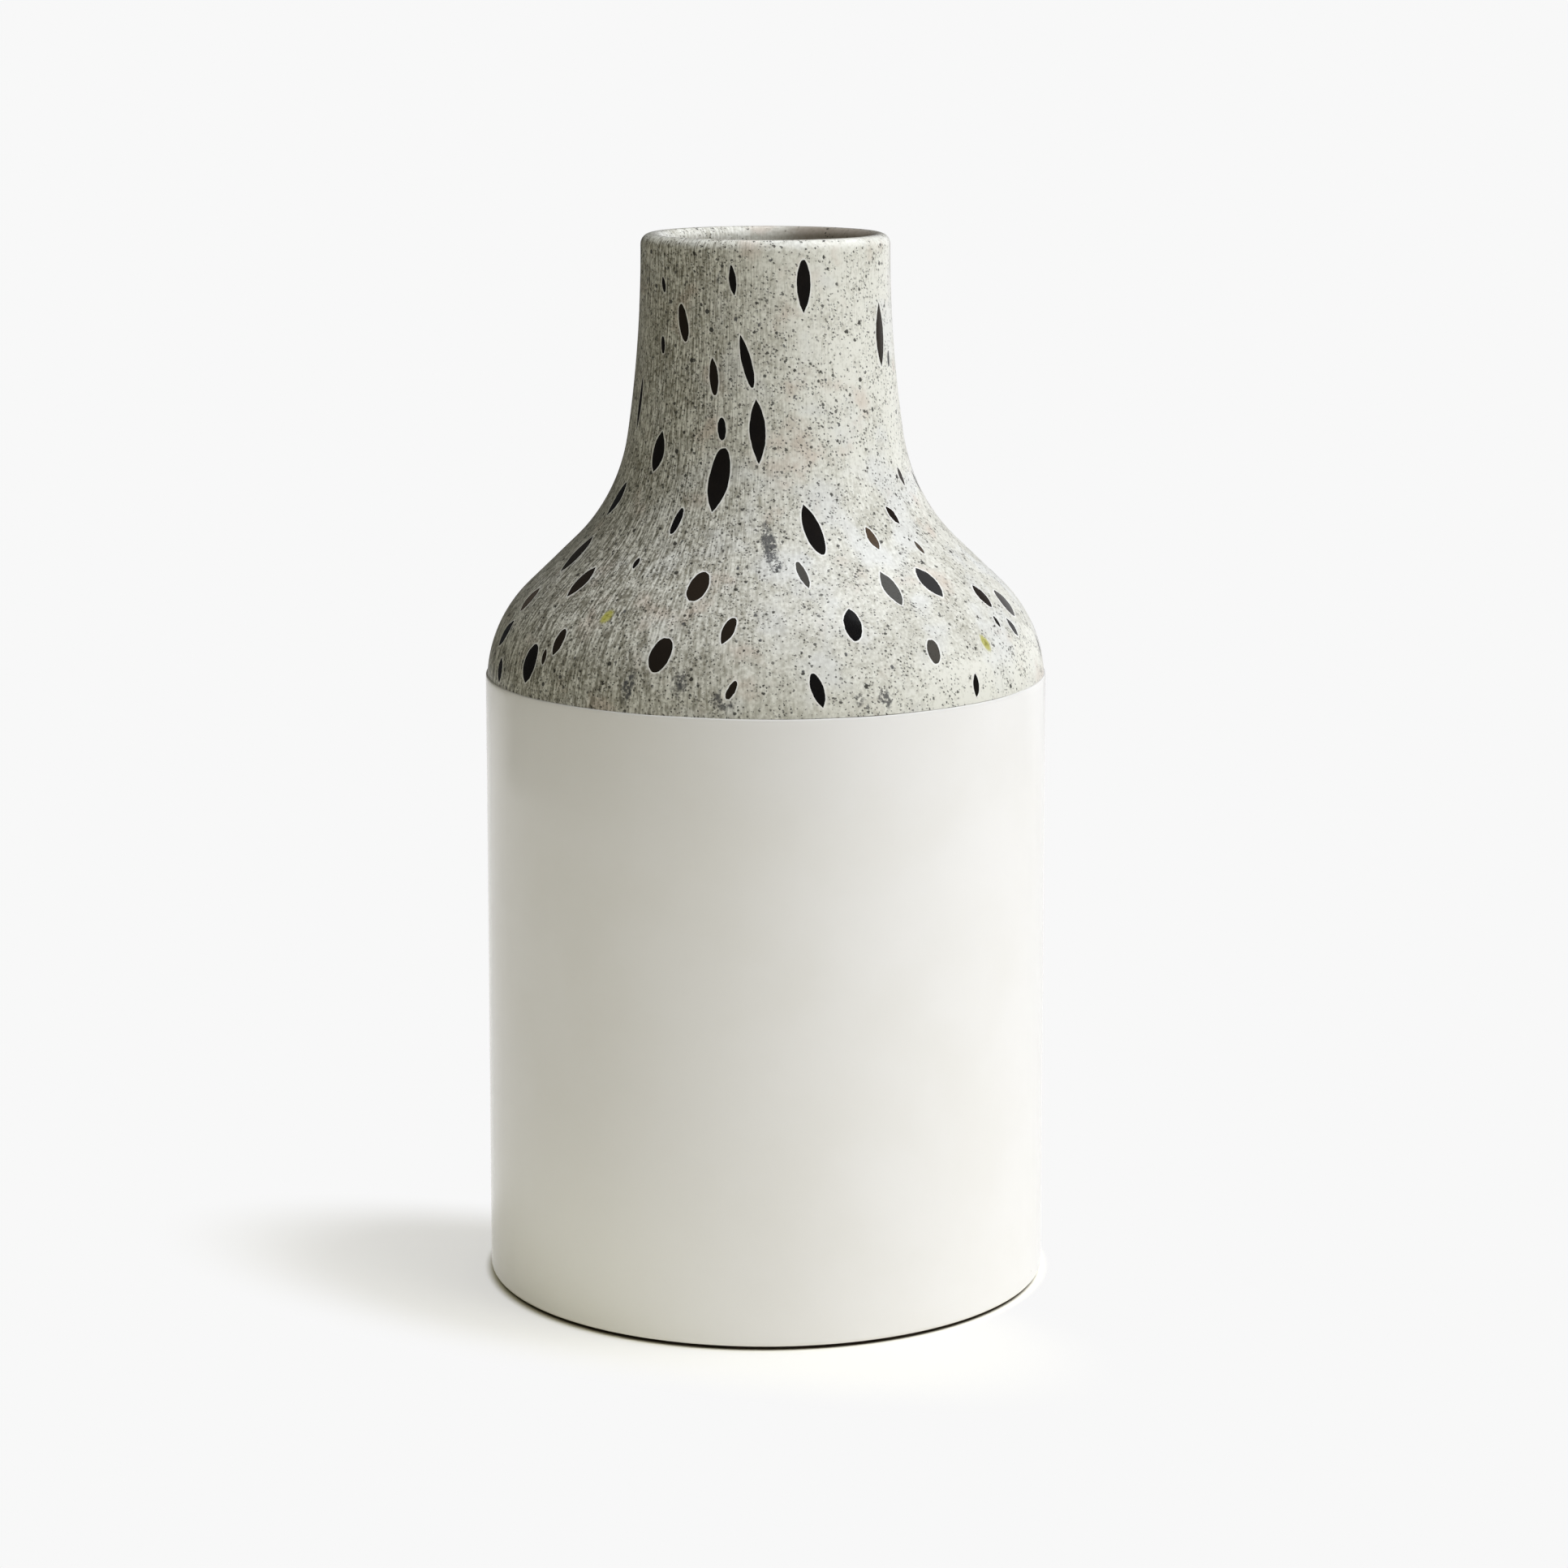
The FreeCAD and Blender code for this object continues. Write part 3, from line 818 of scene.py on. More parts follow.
        # Pepper: real clouds and patches, with more grains as painted shade on the left and fewer as painted
        # light on the right, and fewer at the lip and inside.
        density = 0.19 + (1.0 - misty) * cloud.rise(0.40, 0.60) * 0.38 + patch.rise(0.44, 0.60) * 0.46
        density = density + painted_shade_side * 0.36 + (patch - 0.5) * 0.5 + smudge * 0.6
        density = density + neck * (0.18 - painted_light_side * 0.10) - painted_light_side * 0.05
        density = density - lip * 0.3 - climb.rise(138.0, 144.0) * 0.2
        pepper = self.grains(bench, place, density) * (1.0 - halo)
        colour = bench.blend(pepper * 0.92, colour, self.pepper)
        soft = (smudge * (bench.noise(place, 1.0, 4.0) * 4.4 - 1.4) - 0.06).rise(0.0, 0.95)
        colour = bench.blend(soft * 0.85, colour, self.smoke)
        return bench.blend(halo * 0.85, colour, self.pale_rim), pepper

    def stained(self, bench: Bench, place: Wire, colour: Wire) -> Wire:
        """Lays an ochre stain into a colour.

        Args:
            bench: where the nodes go.
            place: where on the piece.
            colour: the colour without the stain.

        Returns:
            The colour with it.
        """
        stain = bench.stored("stain")
        grainy = bench.noise(place, 0.8, 2.0)
        ochre = (stain * (0.55 + grainy * 0.9)).rise(0.15, 0.75)
        colour = bench.blend(ochre * 0.85, colour, self.ochre)
        return bench.blend((stain * grainy).rise(0.42, 0.62) * 0.7, colour, self.olive)

    def material(self, name: str = "") -> bpy.types.Material:
        """Builds the glaze.

        Args:
            name: the material's name, if it isn't the glaze's own.

        Returns:
            The material.
        """
        material, bench, place = new_material(name or self.name)
        colour, pepper = self.colour(bench, place)
        relief = bench.noise(place, 6.0, 2.0) + pepper * 0.2 + bench.noise(place, 1.1, 1.0) * 0.3
        dull = bench.stored("climb").fall(120.0, 132.0) * 0.16
        roughness = self.gloss + dull + pepper * 0.12 + bench.noise(place, 9.0, 2.0) * 0.10
        bench.surface(self.stained(bench, place, colour), roughness, bench.bump(relief, 0.7, 0.12))
        return material


@dataclass(frozen=True)
class LinerGlaze:
    """Plain thin glaze of the inside, over a body that shows through a little."""

    name: str = "liner_glaze"
    milk: Colour = (0.78, 0.755, 0.69)
    thin: Colour = (0.62, 0.57, 0.48)
    gloss: float = 0.2

    def material(self) -> bpy.types.Material:
        """Builds the glaze.

        Returns:
            The material.
        """
        material, bench, place = new_material(self.name)
        thin = bench.noise(place, 22.0, 3.0).rise(0.45, 0.8)
        distance, chance, _ = bench.cells(place, 3.4)
        iron = distance.fall(0.06, 0.12) * (chance < 0.35)
        colour = bench.blend(thin * 0.6, self.milk, self.thin)
        colour = bench.blend(iron * 0.6, colour, self.thin)
        relief = bench.noise(place, 9.0, 2.0)
        bench.surface(colour, self.gloss + thin * 0.08, bench.bump(relief, 0.5, 0.15))
        return material


@dataclass(frozen=True)
class Stoneware:
    """Unglazed buff clay with sand, iron and the fine rings of the foot's turning."""

    name: str = "bare_stoneware"
    buff: Colour = (0.46, 0.36, 0.26)
    toasted: Colour = (0.33, 0.22, 0.14)
    iron: Colour = (0.09, 0.06, 0.04)
    sand: Colour = (0.62, 0.53, 0.42)
    dullness: float = 0.84

    def material(self) -> bpy.types.Material:
        """Builds the clay.

        Returns:
            The material.
        """
        material, bench, place = new_material(self.name)
        x, y, _ = bench.parts(place)
        radius = bench.maths("SQRT", x * x + y * y)
        rings = bench.maths("SINE", radius * 5.2 + bench.noise(place, 12.0, 1.0) * 5.0)
        sand, sand_chance, _ = bench.cells(place, 0.9)
        iron, iron_chance, _ = bench.cells(place, 3.1)
        sandy = sand.fall(0.15, 0.40) * (sand_chance < 0.4)
        spotted = iron.fall(0.06, 0.14) * (iron_chance < 0.4)
        colour = bench.blend(bench.noise(place, 18.0, 4.0).rise(0.35, 0.7), self.buff, self.toasted)
        colour = bench.blend(sandy * 0.4, colour, self.sand)
        colour = bench.blend(spotted * 0.8, colour, self.iron)
        relief = rings * 0.25 + sandy * 0.5 + bench.noise(place, 0.6, 2.0) * 0.6
        bench.surface(colour, self.dullness - sandy * 0.12, bench.bump(relief, 0.7, 0.12))
        return material


@dataclass(frozen=True)
class IronFinish:
    """Iron that has melted into the glaze, from one tone to another from fleck to fleck."""

    name: str
    first: Colour
    second: Colour
    grain: Colour
    gloss: float = 0.09
    shine: float = 0.22

    def material(self) -> bpy.types.Material:
        """Builds the iron.

        Returns:
            The material.
        """
        material, bench, place = new_material(self.name)
        cloud = bench.noise(place, 1.9, 3.0)
        speckle = bench.noise(place, 0.5, 1.0).rise(0.5, 0.78)
        tone = bench.stored("tone") + (cloud - 0.5) * 0.3
        colour = bench.blend(tone, self.first, self.second)
        colour = bench.blend(speckle * (0.35 + bench.stored("rim") * 0.3), colour, self.grain)
        relief = bench.bump(cloud + speckle * 0.2, 0.5, 0.03)
        bench.surface(colour, self.gloss + cloud * 0.08, relief, Specular_IOR_Level=self.shine)
        return material


@dataclass(frozen=True)
class PadRubber:
    """Matt dark rubber of the foot pads."""

    name: str = "pad_rubber"
    dark: Colour = (0.030, 0.027, 0.024)
    worn: Colour = (0.075, 0.068, 0.060)
    dullness: float = 0.72

    def material(self) -> bpy.types.Material:
        """Builds the rubber.

        Returns:
            The material.
        """
        material, bench, place = new_material(self.name)
        dust = bench.noise(place, 2.4, 4.0).rise(0.45, 0.8)
        relief = bench.bump(bench.noise(place, 0.35, 2.0), 0.6, 0.05)
        bench.surface(bench.blend(dust * 0.7, self.dark, self.worn), self.dullness + dust * 0.15, relief)
        return material


# The vase's pieces


def place_piece(piece: bpy.types.Object, material: bpy.types.Material, slot: str, *nodes: str) -> None:
    """Dresses a piece and puts it on the vase.

    Args:
        piece: the piece.
        material: its finish.
        slot: the record's name for that finish; not used.
        nodes: the plain nodes that the piece stands for.
    """
    piece.data.materials.append(material)
    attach(piece, "root")
    if nodes:
        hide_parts(*nodes)
    log.info("%s: %d faces, for %s", piece.name, len(piece.data.polygons), ", ".join(nodes) or "no node")


def wander(seed: int, waves: tuple[int, ...], height: float, count: int) -> np.ndarray:
    """A closed wavy line.

    Args:
        seed: which of the wavy lines.
        waves: how many waves each part of it has in a full turn.
        height: how far it goes from the middle at most.
        count: how many points it has.

    Returns:
        The line's height at each point.
    """
    draw = random.Random(seed)
    angles = full_turn(count)
    total = np.zeros(count)
    for wave in waves:
        total += draw.uniform(0.4, 1.0) * np.sin(wave * angles + draw.uniform(0, 2 * math.pi)) / wave ** 0.5
    return height * total / max(1e-9, np.abs(total).max())


@dataclass
class Casting:
    """The clay body, of which the foot shows."""

    step: float = 3.0
    lip_steps: int = 10
    segments: int = 256
    turning_depth: float = 0.05
    turning_pitch: float = 1.6

    def foot_section(self) -> list[Point]:
        """From the middle of the recess out to the foot's edge, with fine turning marks.

        Returns:
            The points.
        """
        d = DRAWING
        outer = d.foot_edge.centre_r - d.foot_ring_inset
        inner = outer - d.foot_ring_width
        count = round(inner / self.turning_pitch)
        marks = [(inner * n / count, d.recess_height + self.turning_depth * (n % 2)) for n in range(count)]
        return marks + [
            (inner, d.recess_height),
            (inner, d.pad_thickness + d.foot_ring_edge),
            (inner + d.foot_ring_edge, d.pad_thickness),
            (outer - d.foot_ring_edge, d.pad_thickness),
            (outer, d.pad_thickness + d.foot_ring_edge),
            (outer, d.underside),
        ]

    def build(self) -> None:
        """Turns the body and dresses it."""
        d = DRAWING
        section = self.foot_section() + d.foot_edge.run(0.0, self.step)
        section += d.shoulder.run(0.0, self.step, high=d.seam_lean)
        section += d.climb_run(0.0, self.step)[1:] + d.lip_run(0.0, self.lip_steps)[1:-1]
        section += d.inside_run(d.clay_wall, self.step) + [(0.0, d.floor_height)]
        piece = Turning("clay_casting", section, closed=False, segments=self.segments).build()
        place_piece(piece, Stoneware().material(), "stoneware", "stoneware_body")


@dataclass
class BodyGlaze:
    """The white glaze of the side, rolled over where it meets the speckled glaze."""

    step: float = 0.8
    edge_step: float = 0.2
    side_rows: int = 24
    roll_steps: int = 8
    seam_seed: int = 11
    seam_waves: tuple[int, ...] = (2, 3, 5, 9, 14, 23)
    seam_height: float = 0.16

    def section(self) -> list[Point]:
        """The glaze's closed section.

        Returns:
            The points, up the outside from the foot and down the clay's face.
        """
        d = DRAWING
        # The white glaze's full thickness over the clay.
        thick_and_painted_bounce = d.skin + d.white_step
        low = d.foot_edge.run(thick_and_painted_bounce, self.edge_step)
        high = d.shoulder.run(thick_and_painted_bounce, self.step, high=d.roll_lean)
        turn = Bend(*d.shoulder.spot(d.roll_lean, d.skin), d.white_step, d.roll_lean, 90.0)
        roll = turn.points(0.0, turn.low, turn.high, self.roll_steps)[1:]
        inner = [d.shoulder.spot(d.seam_lean, d.skin)]
        inner += d.shoulder.run(0.0, self.step, high=d.seam_lean)[::-1]
        inner += d.foot_edge.run(0.0, self.step)[::-1]
        return low + between(low[-1], high[0], self.side_rows) + high + roll + inner

    def build(self) -> None:
        """Turns the glaze, with a seam that is a little uneven, and dresses it."""
        d = DRAWING
        turning = Turning("white_body_glaze_skin", self.section(), closed=True)
        heights = np.array(turning.section)[:, 1]
        near_seam = np.clip((heights - d.spring) / d.seam_rise, 0, 1) ** 2
        line = wander(self.seam_seed, self.seam_waves, self.seam_height, turning.segments)
        piece = turning.build(near_seam[:, None] * line[None, :])
        # How far up the roll each ring lies, which the finish turns into painted shade on the roll's top.
        roll_middle = d.shoulder.spot(d.roll_lean, d.skin)[1]
        edge = np.clip((heights - roll_middle) / d.white_step, 0, 1)
        add_values(piece, "edge", turning.spread(edge))
        place_piece(piece, WhiteGlaze().material(), "white_glaze", "white_body_glaze")


@dataclass
class NeckGlaze:
    """The speckled glaze of the shoulder and neck, over the lip and into the throat."""

    step: float = 1.15
    hidden_step: float = 5.0
    lip_steps: int = 22

    def build(self) -> None:
        """Turns the glaze, stores how far up each ring lies, and dresses it."""
        d = DRAWING
        outside = d.climb_run(d.skin, self.step) + d.lip_run(d.skin, self.lip_steps)[1:]
        outside += d.neck.run(-d.clay_wall - d.skin, self.step, low=d.throat_lean)[-2::-1]
        hidden = d.neck.run(-d.clay_wall, self.hidden_step, low=d.throat_lean)
        hidden += d.lip_run(0.0, self.lip_steps)[-2:0:-1]
        hidden += d.climb_run(0.0, self.hidden_step)[::-1]
        turning = Turning("speckled_glaze_skin", outside + hidden, closed=True)
        piece = turning.build()
        climbs = [*way_along(np.array(outside)), *([0.0] * len(hidden))]
        add_values(piece, "climb", turning.spread(climbs))
        place_piece(piece, SpeckledGlaze().material(), "speckled_glaze", "speckled_neck_glaze")


@dataclass
class Liner:
    """The plain glaze of the inside, from the throat down to the floor."""

    step: float = 2.5
    segments: int = 192

    def side(self, depth: float) -> list[Point]:
        """Points of the inside below the throat, from the top down, at a depth below the outer line."""
        throat = DRAWING.neck.spot(DRAWING.throat_lean, 0.0)[1]
        return [point for point in DRAWING.inside_run(depth, self.step) if point[1] < throat]

    def build(self) -> None:
        """Turns the glaze and dresses it."""
        d = DRAWING
        behind, front = self.side(d.clay_wall), self.side(d.clay_wall + d.skin)
        section = [(0.0, d.floor_height)] + behind[::-1] + front + [(0.0, d.floor_height + d.skin)]
        piece = Turning("liner_glaze_skin", section, closed=False, segments=self.segments).build()
        place_piece(piece, LinerGlaze().material(), "liner_glaze", "liner_glaze")


class FleckKind(Enum):
    """The three sorts of mark in the speckled glaze."""

    BLACK = "black_flecks"
    GREY = "grey_flecks"
    OCHRE = "ochre_stains"


@dataclass
class MarkReader:
    """Finds the marks of one node on the frame: where each lies and what its outline is."""

    kind: FleckKind
    points: int = 56
    waves: tuple[int, ...] = (2, 3, 5, 7, 11, 17)
    roughness: float = 0.11
    rough_span: float = 3.0
    swell: float = 0.32
    full_span: float = 4.0
    outer_share: float = 0.8
    merge_distance: float = 0.002

    def islands(self) -> list[np.ndarray]:
        """Parts the node's mesh into its solids.

        Returns:
            The corners of each solid, in millimetres, from the lowest solid up.
        """
        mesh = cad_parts[self.kind.value].data
        corners = np.array([vertex.co for vertex in mesh.vertices]) / MILLIMETRE
        _, first, same = np.unique(np.round(corners / self.merge_distance).astype(np.int64), axis=0,
                                   return_index=True, return_inverse=True)
        starts, ends = same.reshape(-1)[np.array([edge.vertices[:] for edge in mesh.edges])].T
        owner, before = np.arange(len(first)), np.zeros(0)
        while not np.array_equal(owner, before):
            before = owner.copy()
            np.minimum.at(owner, starts, before[ends])
            np.minimum.at(owner, ends, before[starts])
        solids = [corners[first[owner == least]] for least in np.unique(owner)]
        return sorted(solids, key=lambda solid: (round(float(solid[:, 2].mean()), 1),
                                                 float(solid[:, 0].mean())))

    def unrolled(self, solid: np.ndarray) -> Mark:
        """Unrolls a solid's outer face.

        Args:
            solid: the solid's corners.

        Returns:
            A mark at the face's middle, with its corners in no order in place of an outline.
        """
        d = DRAWING
        radius = np.hypot(solid[:, 0], solid[:, 1])
        gaps = np.hypot(radius[:, None] - d.line[None, :, 0], solid[:, 2][:, None] - d.line[None, :, 1])
        outer = gaps.min(axis=1) > d.skin * self.outer_share
        angles = np.arctan2(solid[:, 0], -solid[:, 1])[outer]
        way = d.line_way[gaps.argmin(axis=1)][outer]
        turn = angles - angles[0]
        angles = angles[0] + (turn + math.pi) % (2 * math.pi) - math.pi
        middle = (angles.min() + angles.max()) / 2
        climb = (way.min() + way.max()) / 2
        spots = np.stack([(angles - middle) * radius[outer], way - climb], axis=1)
        return Mark(math.degrees(middle), float(climb), spots)

    def hull(self, spots: np.ndarray) -> np.ndarray:
        """The outline of a form without hollows.

        Args:
            spots: its corners, in no order.

        Returns:
            The outline, counterclockwise from its lowest point.
        """
        ordered = sorted(map(tuple, spots))
        chains = []
        for line in (ordered, ordered[::-1]):
            chain: list[Point] = []
            for spot in line:
                while len(chain) > 1 and ((chain[-1][0] - chain[-2][0]) * (spot[1] - chain[-2][1])
                                          <= (chain[-1][1] - chain[-2][1]) * (spot[0] - chain[-2][0])):
                    chain.pop()
                chain.append(spot)
            chains.append(chain[:-1])
        outline = np.array(chains[0] + chains[1])
        return np.roll(outline, -int(outline[:, 1].argmin()), axis=0)

    def even(self, outline: np.ndarray) -> np.ndarray:
        """The outline in evenly spaced points, with a point at its top and its bottom.

        Args:
            outline: the outline, from its lowest point.

        Returns:
            The new points, from the lowest too.
        """
        top = int(outline[:, 1].argmax())
        parts = []
        for half in (outline[:top + 1], np.concatenate([outline[top:], outline[:1]])):
            way = way_along(half)
            ways = np.linspace(0, way[-1], self.points // 2, endpoint=False)
            parts.append(np.stack([np.interp(ways, way, column) for column in half.T], axis=1))
        return np.concatenate(parts)

    def marks(self) -> list[Mark]:
        """Reads the node's marks, and makes them slightly uneven and the small ones a little fuller.

        Returns:
            The marks, from the lowest up.
        """
        found = []
        for number, solid in enumerate(self.islands()):
            mark = self.unrolled(solid)
            mark.outline = self.even(self.hull(mark.outline))
            seed = 1000 * len(self.kind.value) + number
            waver = wander(seed, self.waves, 1.0, len(mark.outline))
            swell = self.swell * max(0.0, 1 - mark.span() / self.full_span)
            shift = swell + waver * self.roughness * min(1.0, mark.span() / self.rough_span)
            mark.outline = mark.outline + mark.outwards() * shift[:, None]
            found.append(mark)
        return found


@dataclass
class IronFlecks:
    """Iron flecks of one colour: closed chips that lie flush in the speckled glaze."""

    kind: FleckKind
    name: str
    slot: str
    finish: IronFinish
    brown_share: float
    brown_tones: Point = (0.5, 1.0)
    other_tones: Point = (0.0, 0.2)
    seed: int = 5
    lift: float = 0.035
    depth: float = 0.3
    ring_shares: tuple[float, ...] = (0.3, 0.55, 0.75, 0.9, 1.0)

    def build(self, marks: list[Mark]) -> None:
        """Lays the flecks and dresses them.

        Args:
            marks: where they lie.
        """
        layer = Layer(self.name)
        draw = random.Random(self.seed)
        for mark in marks:
            brown = draw.random() < self.brown_share
            tone = draw.uniform(*(self.brown_tones if brown else self.other_tones))
            edge = {"tone": tone, "rim": 1.0}
            loops = [(MIDDLE, self.lift, {"tone": tone, "rim": 0.0})]
            loops += [(mark.outline * share, self.lift, {"tone": tone, "rim": share ** 3})
                      for share in self.ring_shares]
            layer.add_chip(mark, loops + [(mark.outline, -self.depth, edge), (MIDDLE, -self.depth, edge)])
        place_piece(layer.build(), self.finish.material(), self.slot, self.kind.value)


@dataclass
class FleckRims:
    """The thin pale line where the glaze draws back from each fleck, and the fine grit beside it."""

    seed: int = 8
    lift: float = 0.02
    depth: float = 0.12
    gritty_share: float = 0.35
    grit_amounts: Point = (0.4, 1.0)
    grit_strength: float = 0.6
    clear_span: float = 3.0
    rings: tuple[Point, ...] = ((-0.12, 1.0), (0.08, 1.0), (0.22, 0.8), (0.45, 0.2), (0.8, 0.0), (1.3, 0.0))

    def build(self, marks: list[Mark]) -> None:
        """Lays a ring round each fleck and dresses them all.

        Args:
            marks: where the flecks lie.
        """
        layer = Layer("fleck_rims")
        draw = random.Random(self.seed)
        least, reach = self.rings[0][0], self.rings[-1][0]
        for mark in marks:
            grit = draw.uniform(*self.grit_amounts) if draw.random() < self.gritty_share else 0.0
            clear = min(1.0, mark.span() / self.clear_span)
            loops = []
            for distance, pale in self.rings:
                fade = max(0.0, 1 - max(0.0, distance) / reach) * self.grit_strength
                values = dict(PLAIN, halo=pale * clear, smudge=mark.tip_share() * grit * fade)
                loops.append((mark.grown(distance), self.lift, values))
            loops += [(mark.grown(distance), -self.depth, PLAIN) for distance in (reach, least)]
            layer.add_chip(mark, loops, closed=True)
        place_piece(layer.build(), SpeckledGlaze().material("speckled_glaze_rims"), "speckled_glaze")


@dataclass
class OchreStains:
    """Soft ochre stains, each a thin lens that fades out at its rim."""

    lift: float = 0.03
    depth: float = 0.12
    growth: float = 0.9

    def build(self, marks: list[Mark]) -> None:
        """Lays the stains and dresses them.

        Args:
            marks: where they lie.
        """
        layer = Layer("ochre_stain_marks")
        for mark in marks:
            grown = Mark(mark.around, mark.climb, mark.grown(self.growth))
            layer.add_lens(grown, self.lift, self.depth, "stain", 1.0)
        glaze = SpeckledGlaze().material("ochre_stain_glaze")
        place_piece(layer.build(), glaze, "ochre_stain", "ochre_stains")


@dataclass(frozen=True)
class Smudge:
    """One soft dark cloud in the glaze: its place, size, lean and strength."""

    around: float
    climb_share: float
    width: float
    length: float
    lean: float
    strength: float

    def mark(self, waver: np.ndarray) -> Mark:
        """The cloud as a mark.

        Args:
            waver: how far each point of its outline lies further out, as a share of its size.

        Returns:
            The mark.
        """
        turns = full_turn(len(waver))
        across = np.sin(turns) * (1 + waver) * self.width / 2
        along = np.cos(turns) * (1 + waver) * self.length / 2
        cosine, sine = math.cos(math.radians(self.lean)), math.sin(math.radians(self.lean))
        outline = np.stack([across * cosine + along * sine, along * cosine - across * sine], axis=1)
        return Mark(self.around, self.climb_share * DRAWING.line_way[-1], outline[::-1])


@dataclass
class Smudges:
    """Soft blue-grey clouds where iron has spread into the glaze, and single dark specks."""

    lift: float = 0.012
    depth: float = 0.12
    points: int = 40
    waves: tuple[int, ...] = (2, 3, 5)
    waver: float = 0.16
    first_seed: int = 300
    front: tuple[Smudge, ...] = (
        Smudge(1.3, 0.395, 5.8, 16.0, -6.0, 1.9),
        Smudge(3.0, 0.350, 4.4, 10.0, -12.0, 1.6),
        Smudge(0.5, 0.440, 3.2, 8.0, 0.0, 1.6),
        Smudge(-15.5, 0.945, 3.6, 13.0, 4.0, 0.9),
        Smudge(-20.7, 0.945, 2.2, 7.0, 14.0, 0.8),
        Smudge(-8.0, 0.036, 8.5, 11.0, 22.0, 0.95),
        Smudge(24.3, 0.031, 5.5, 8.0, -6.0, 1.1),
        Smudge(18.8, 0.032, 4.0, 5.0, 0.0, 0.8),
        Smudge(-27.9, 0.052, 5.5, 13.5, 10.0, 1.05),
        Smudge(-17.0, 0.066, 7.0, 11.0, 4.0, 0.85),
        Smudge(11.4, 0.275, 1.8, 9.0, -16.0, 0.6),
        Smudge(-7.0, 0.190, 6.5, 9.0, 18.0, 0.8),
    )
    back_seed: int = 21
    back_count: int = 12
    back_start: float = 95.0
    back_sweep: float = 170.0
    golden_share: float = 0.618
    back_ranges: tuple[Point, ...] = ((0.03, 0.92), (3.0, 6.5), (7.0, 17.0), (-14.0, 14.0), (0.4, 0.9))
    speck_stretch: float = 1.35
    speck_strength: float = 2.2
    dots: tuple[Triple, ...] = (
        (2.5, 0.985, 1.3), (-13.0, 0.863, 1.3), (-2.5, 0.853, 1.0), (8.6, 0.813, 1.4), (27.0, 0.739, 1.0),
        (32.2, 0.646, 1.1), (52.1, 0.578, 1.3), (-27.0, 0.396, 1.2), (-53.0, 0.373, 1.1), (-7.6, 0.337, 1.2),
        (-34.5, 0.212, 1.1), (-18.5, 0.193, 1.0), (-2.1, 0.219, 1.2), (-0.9, 0.159, 1.0), (-42.6, 0.098, 1.1),
        (20.0, 0.504, 1.3), (30.2, 0.153, 1.1), (17.0, 0.125, 1.0), (26.6, 0.093, 1.2), (7.7, 0.094, 1.1),
        (12.9, 0.705, 1.7), (20.4, 0.018, 1.3),
    )

    def specks(self) -> list[Smudge]:
        """Single dark specks, as small strong clouds."""
        return [Smudge(around, share, size, size * self.speck_stretch, 0.0, self.speck_strength)
                for around, share, size in self.dots]

    def back(self) -> list[Smudge]:
        """Clouds on the back, scattered evenly round it and at random in the other ranges.

        Returns:
            The clouds.
        """
        draw = random.Random(self.back_seed)
        found = []
        for number in range(self.back_count):
            around = self.back_start + self.back_sweep * (number * self.golden_share % 1)
            found.append(Smudge(around, *(draw.uniform(*limits) for limits in self.back_ranges)))
        return found

    def build(self) -> None:
        """Lays the clouds and dresses them."""
        layer = Layer("iron_smudges")
        for number, smudge in enumerate([*self.front, *self.back(), *self.specks()]):
            waver = wander(self.first_seed + number, self.waves, self.waver, self.points)
            layer.add_lens(smudge.mark(waver), self.lift, self.depth, "smudge", smudge.strength)
        place_piece(layer.build(), SpeckledGlaze().material("speckled_glaze_smudges"), "speckled_glaze")


@dataclass
class FootPads:
    """The four rubber pads, which keep the frame's own shape."""

    count: int = 4

    def build(self) -> None:
        """Dresses the pads."""
        rubber = PadRubber().material()
        for number in range(1, self.count + 1):
            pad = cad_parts[f"foot_pad_{number}"]
            if not pad.material_slots:
                pad.data.materials.append(rubber)
            for place in pad.material_slots:
                place.material = rubber
            log.info("%s: own shape kept, rubber finish", pad.name)


# The studio


@dataclass(frozen=True)
class Softbox:
    """A soft light: where it hangs, as seen from the vase, its size, its power and whether it mirrors."""

    name: str
    around: float
    rise: float
    distance: float
    width: float
    height: float
    power: float
    tint: Colour
    mirrored: bool


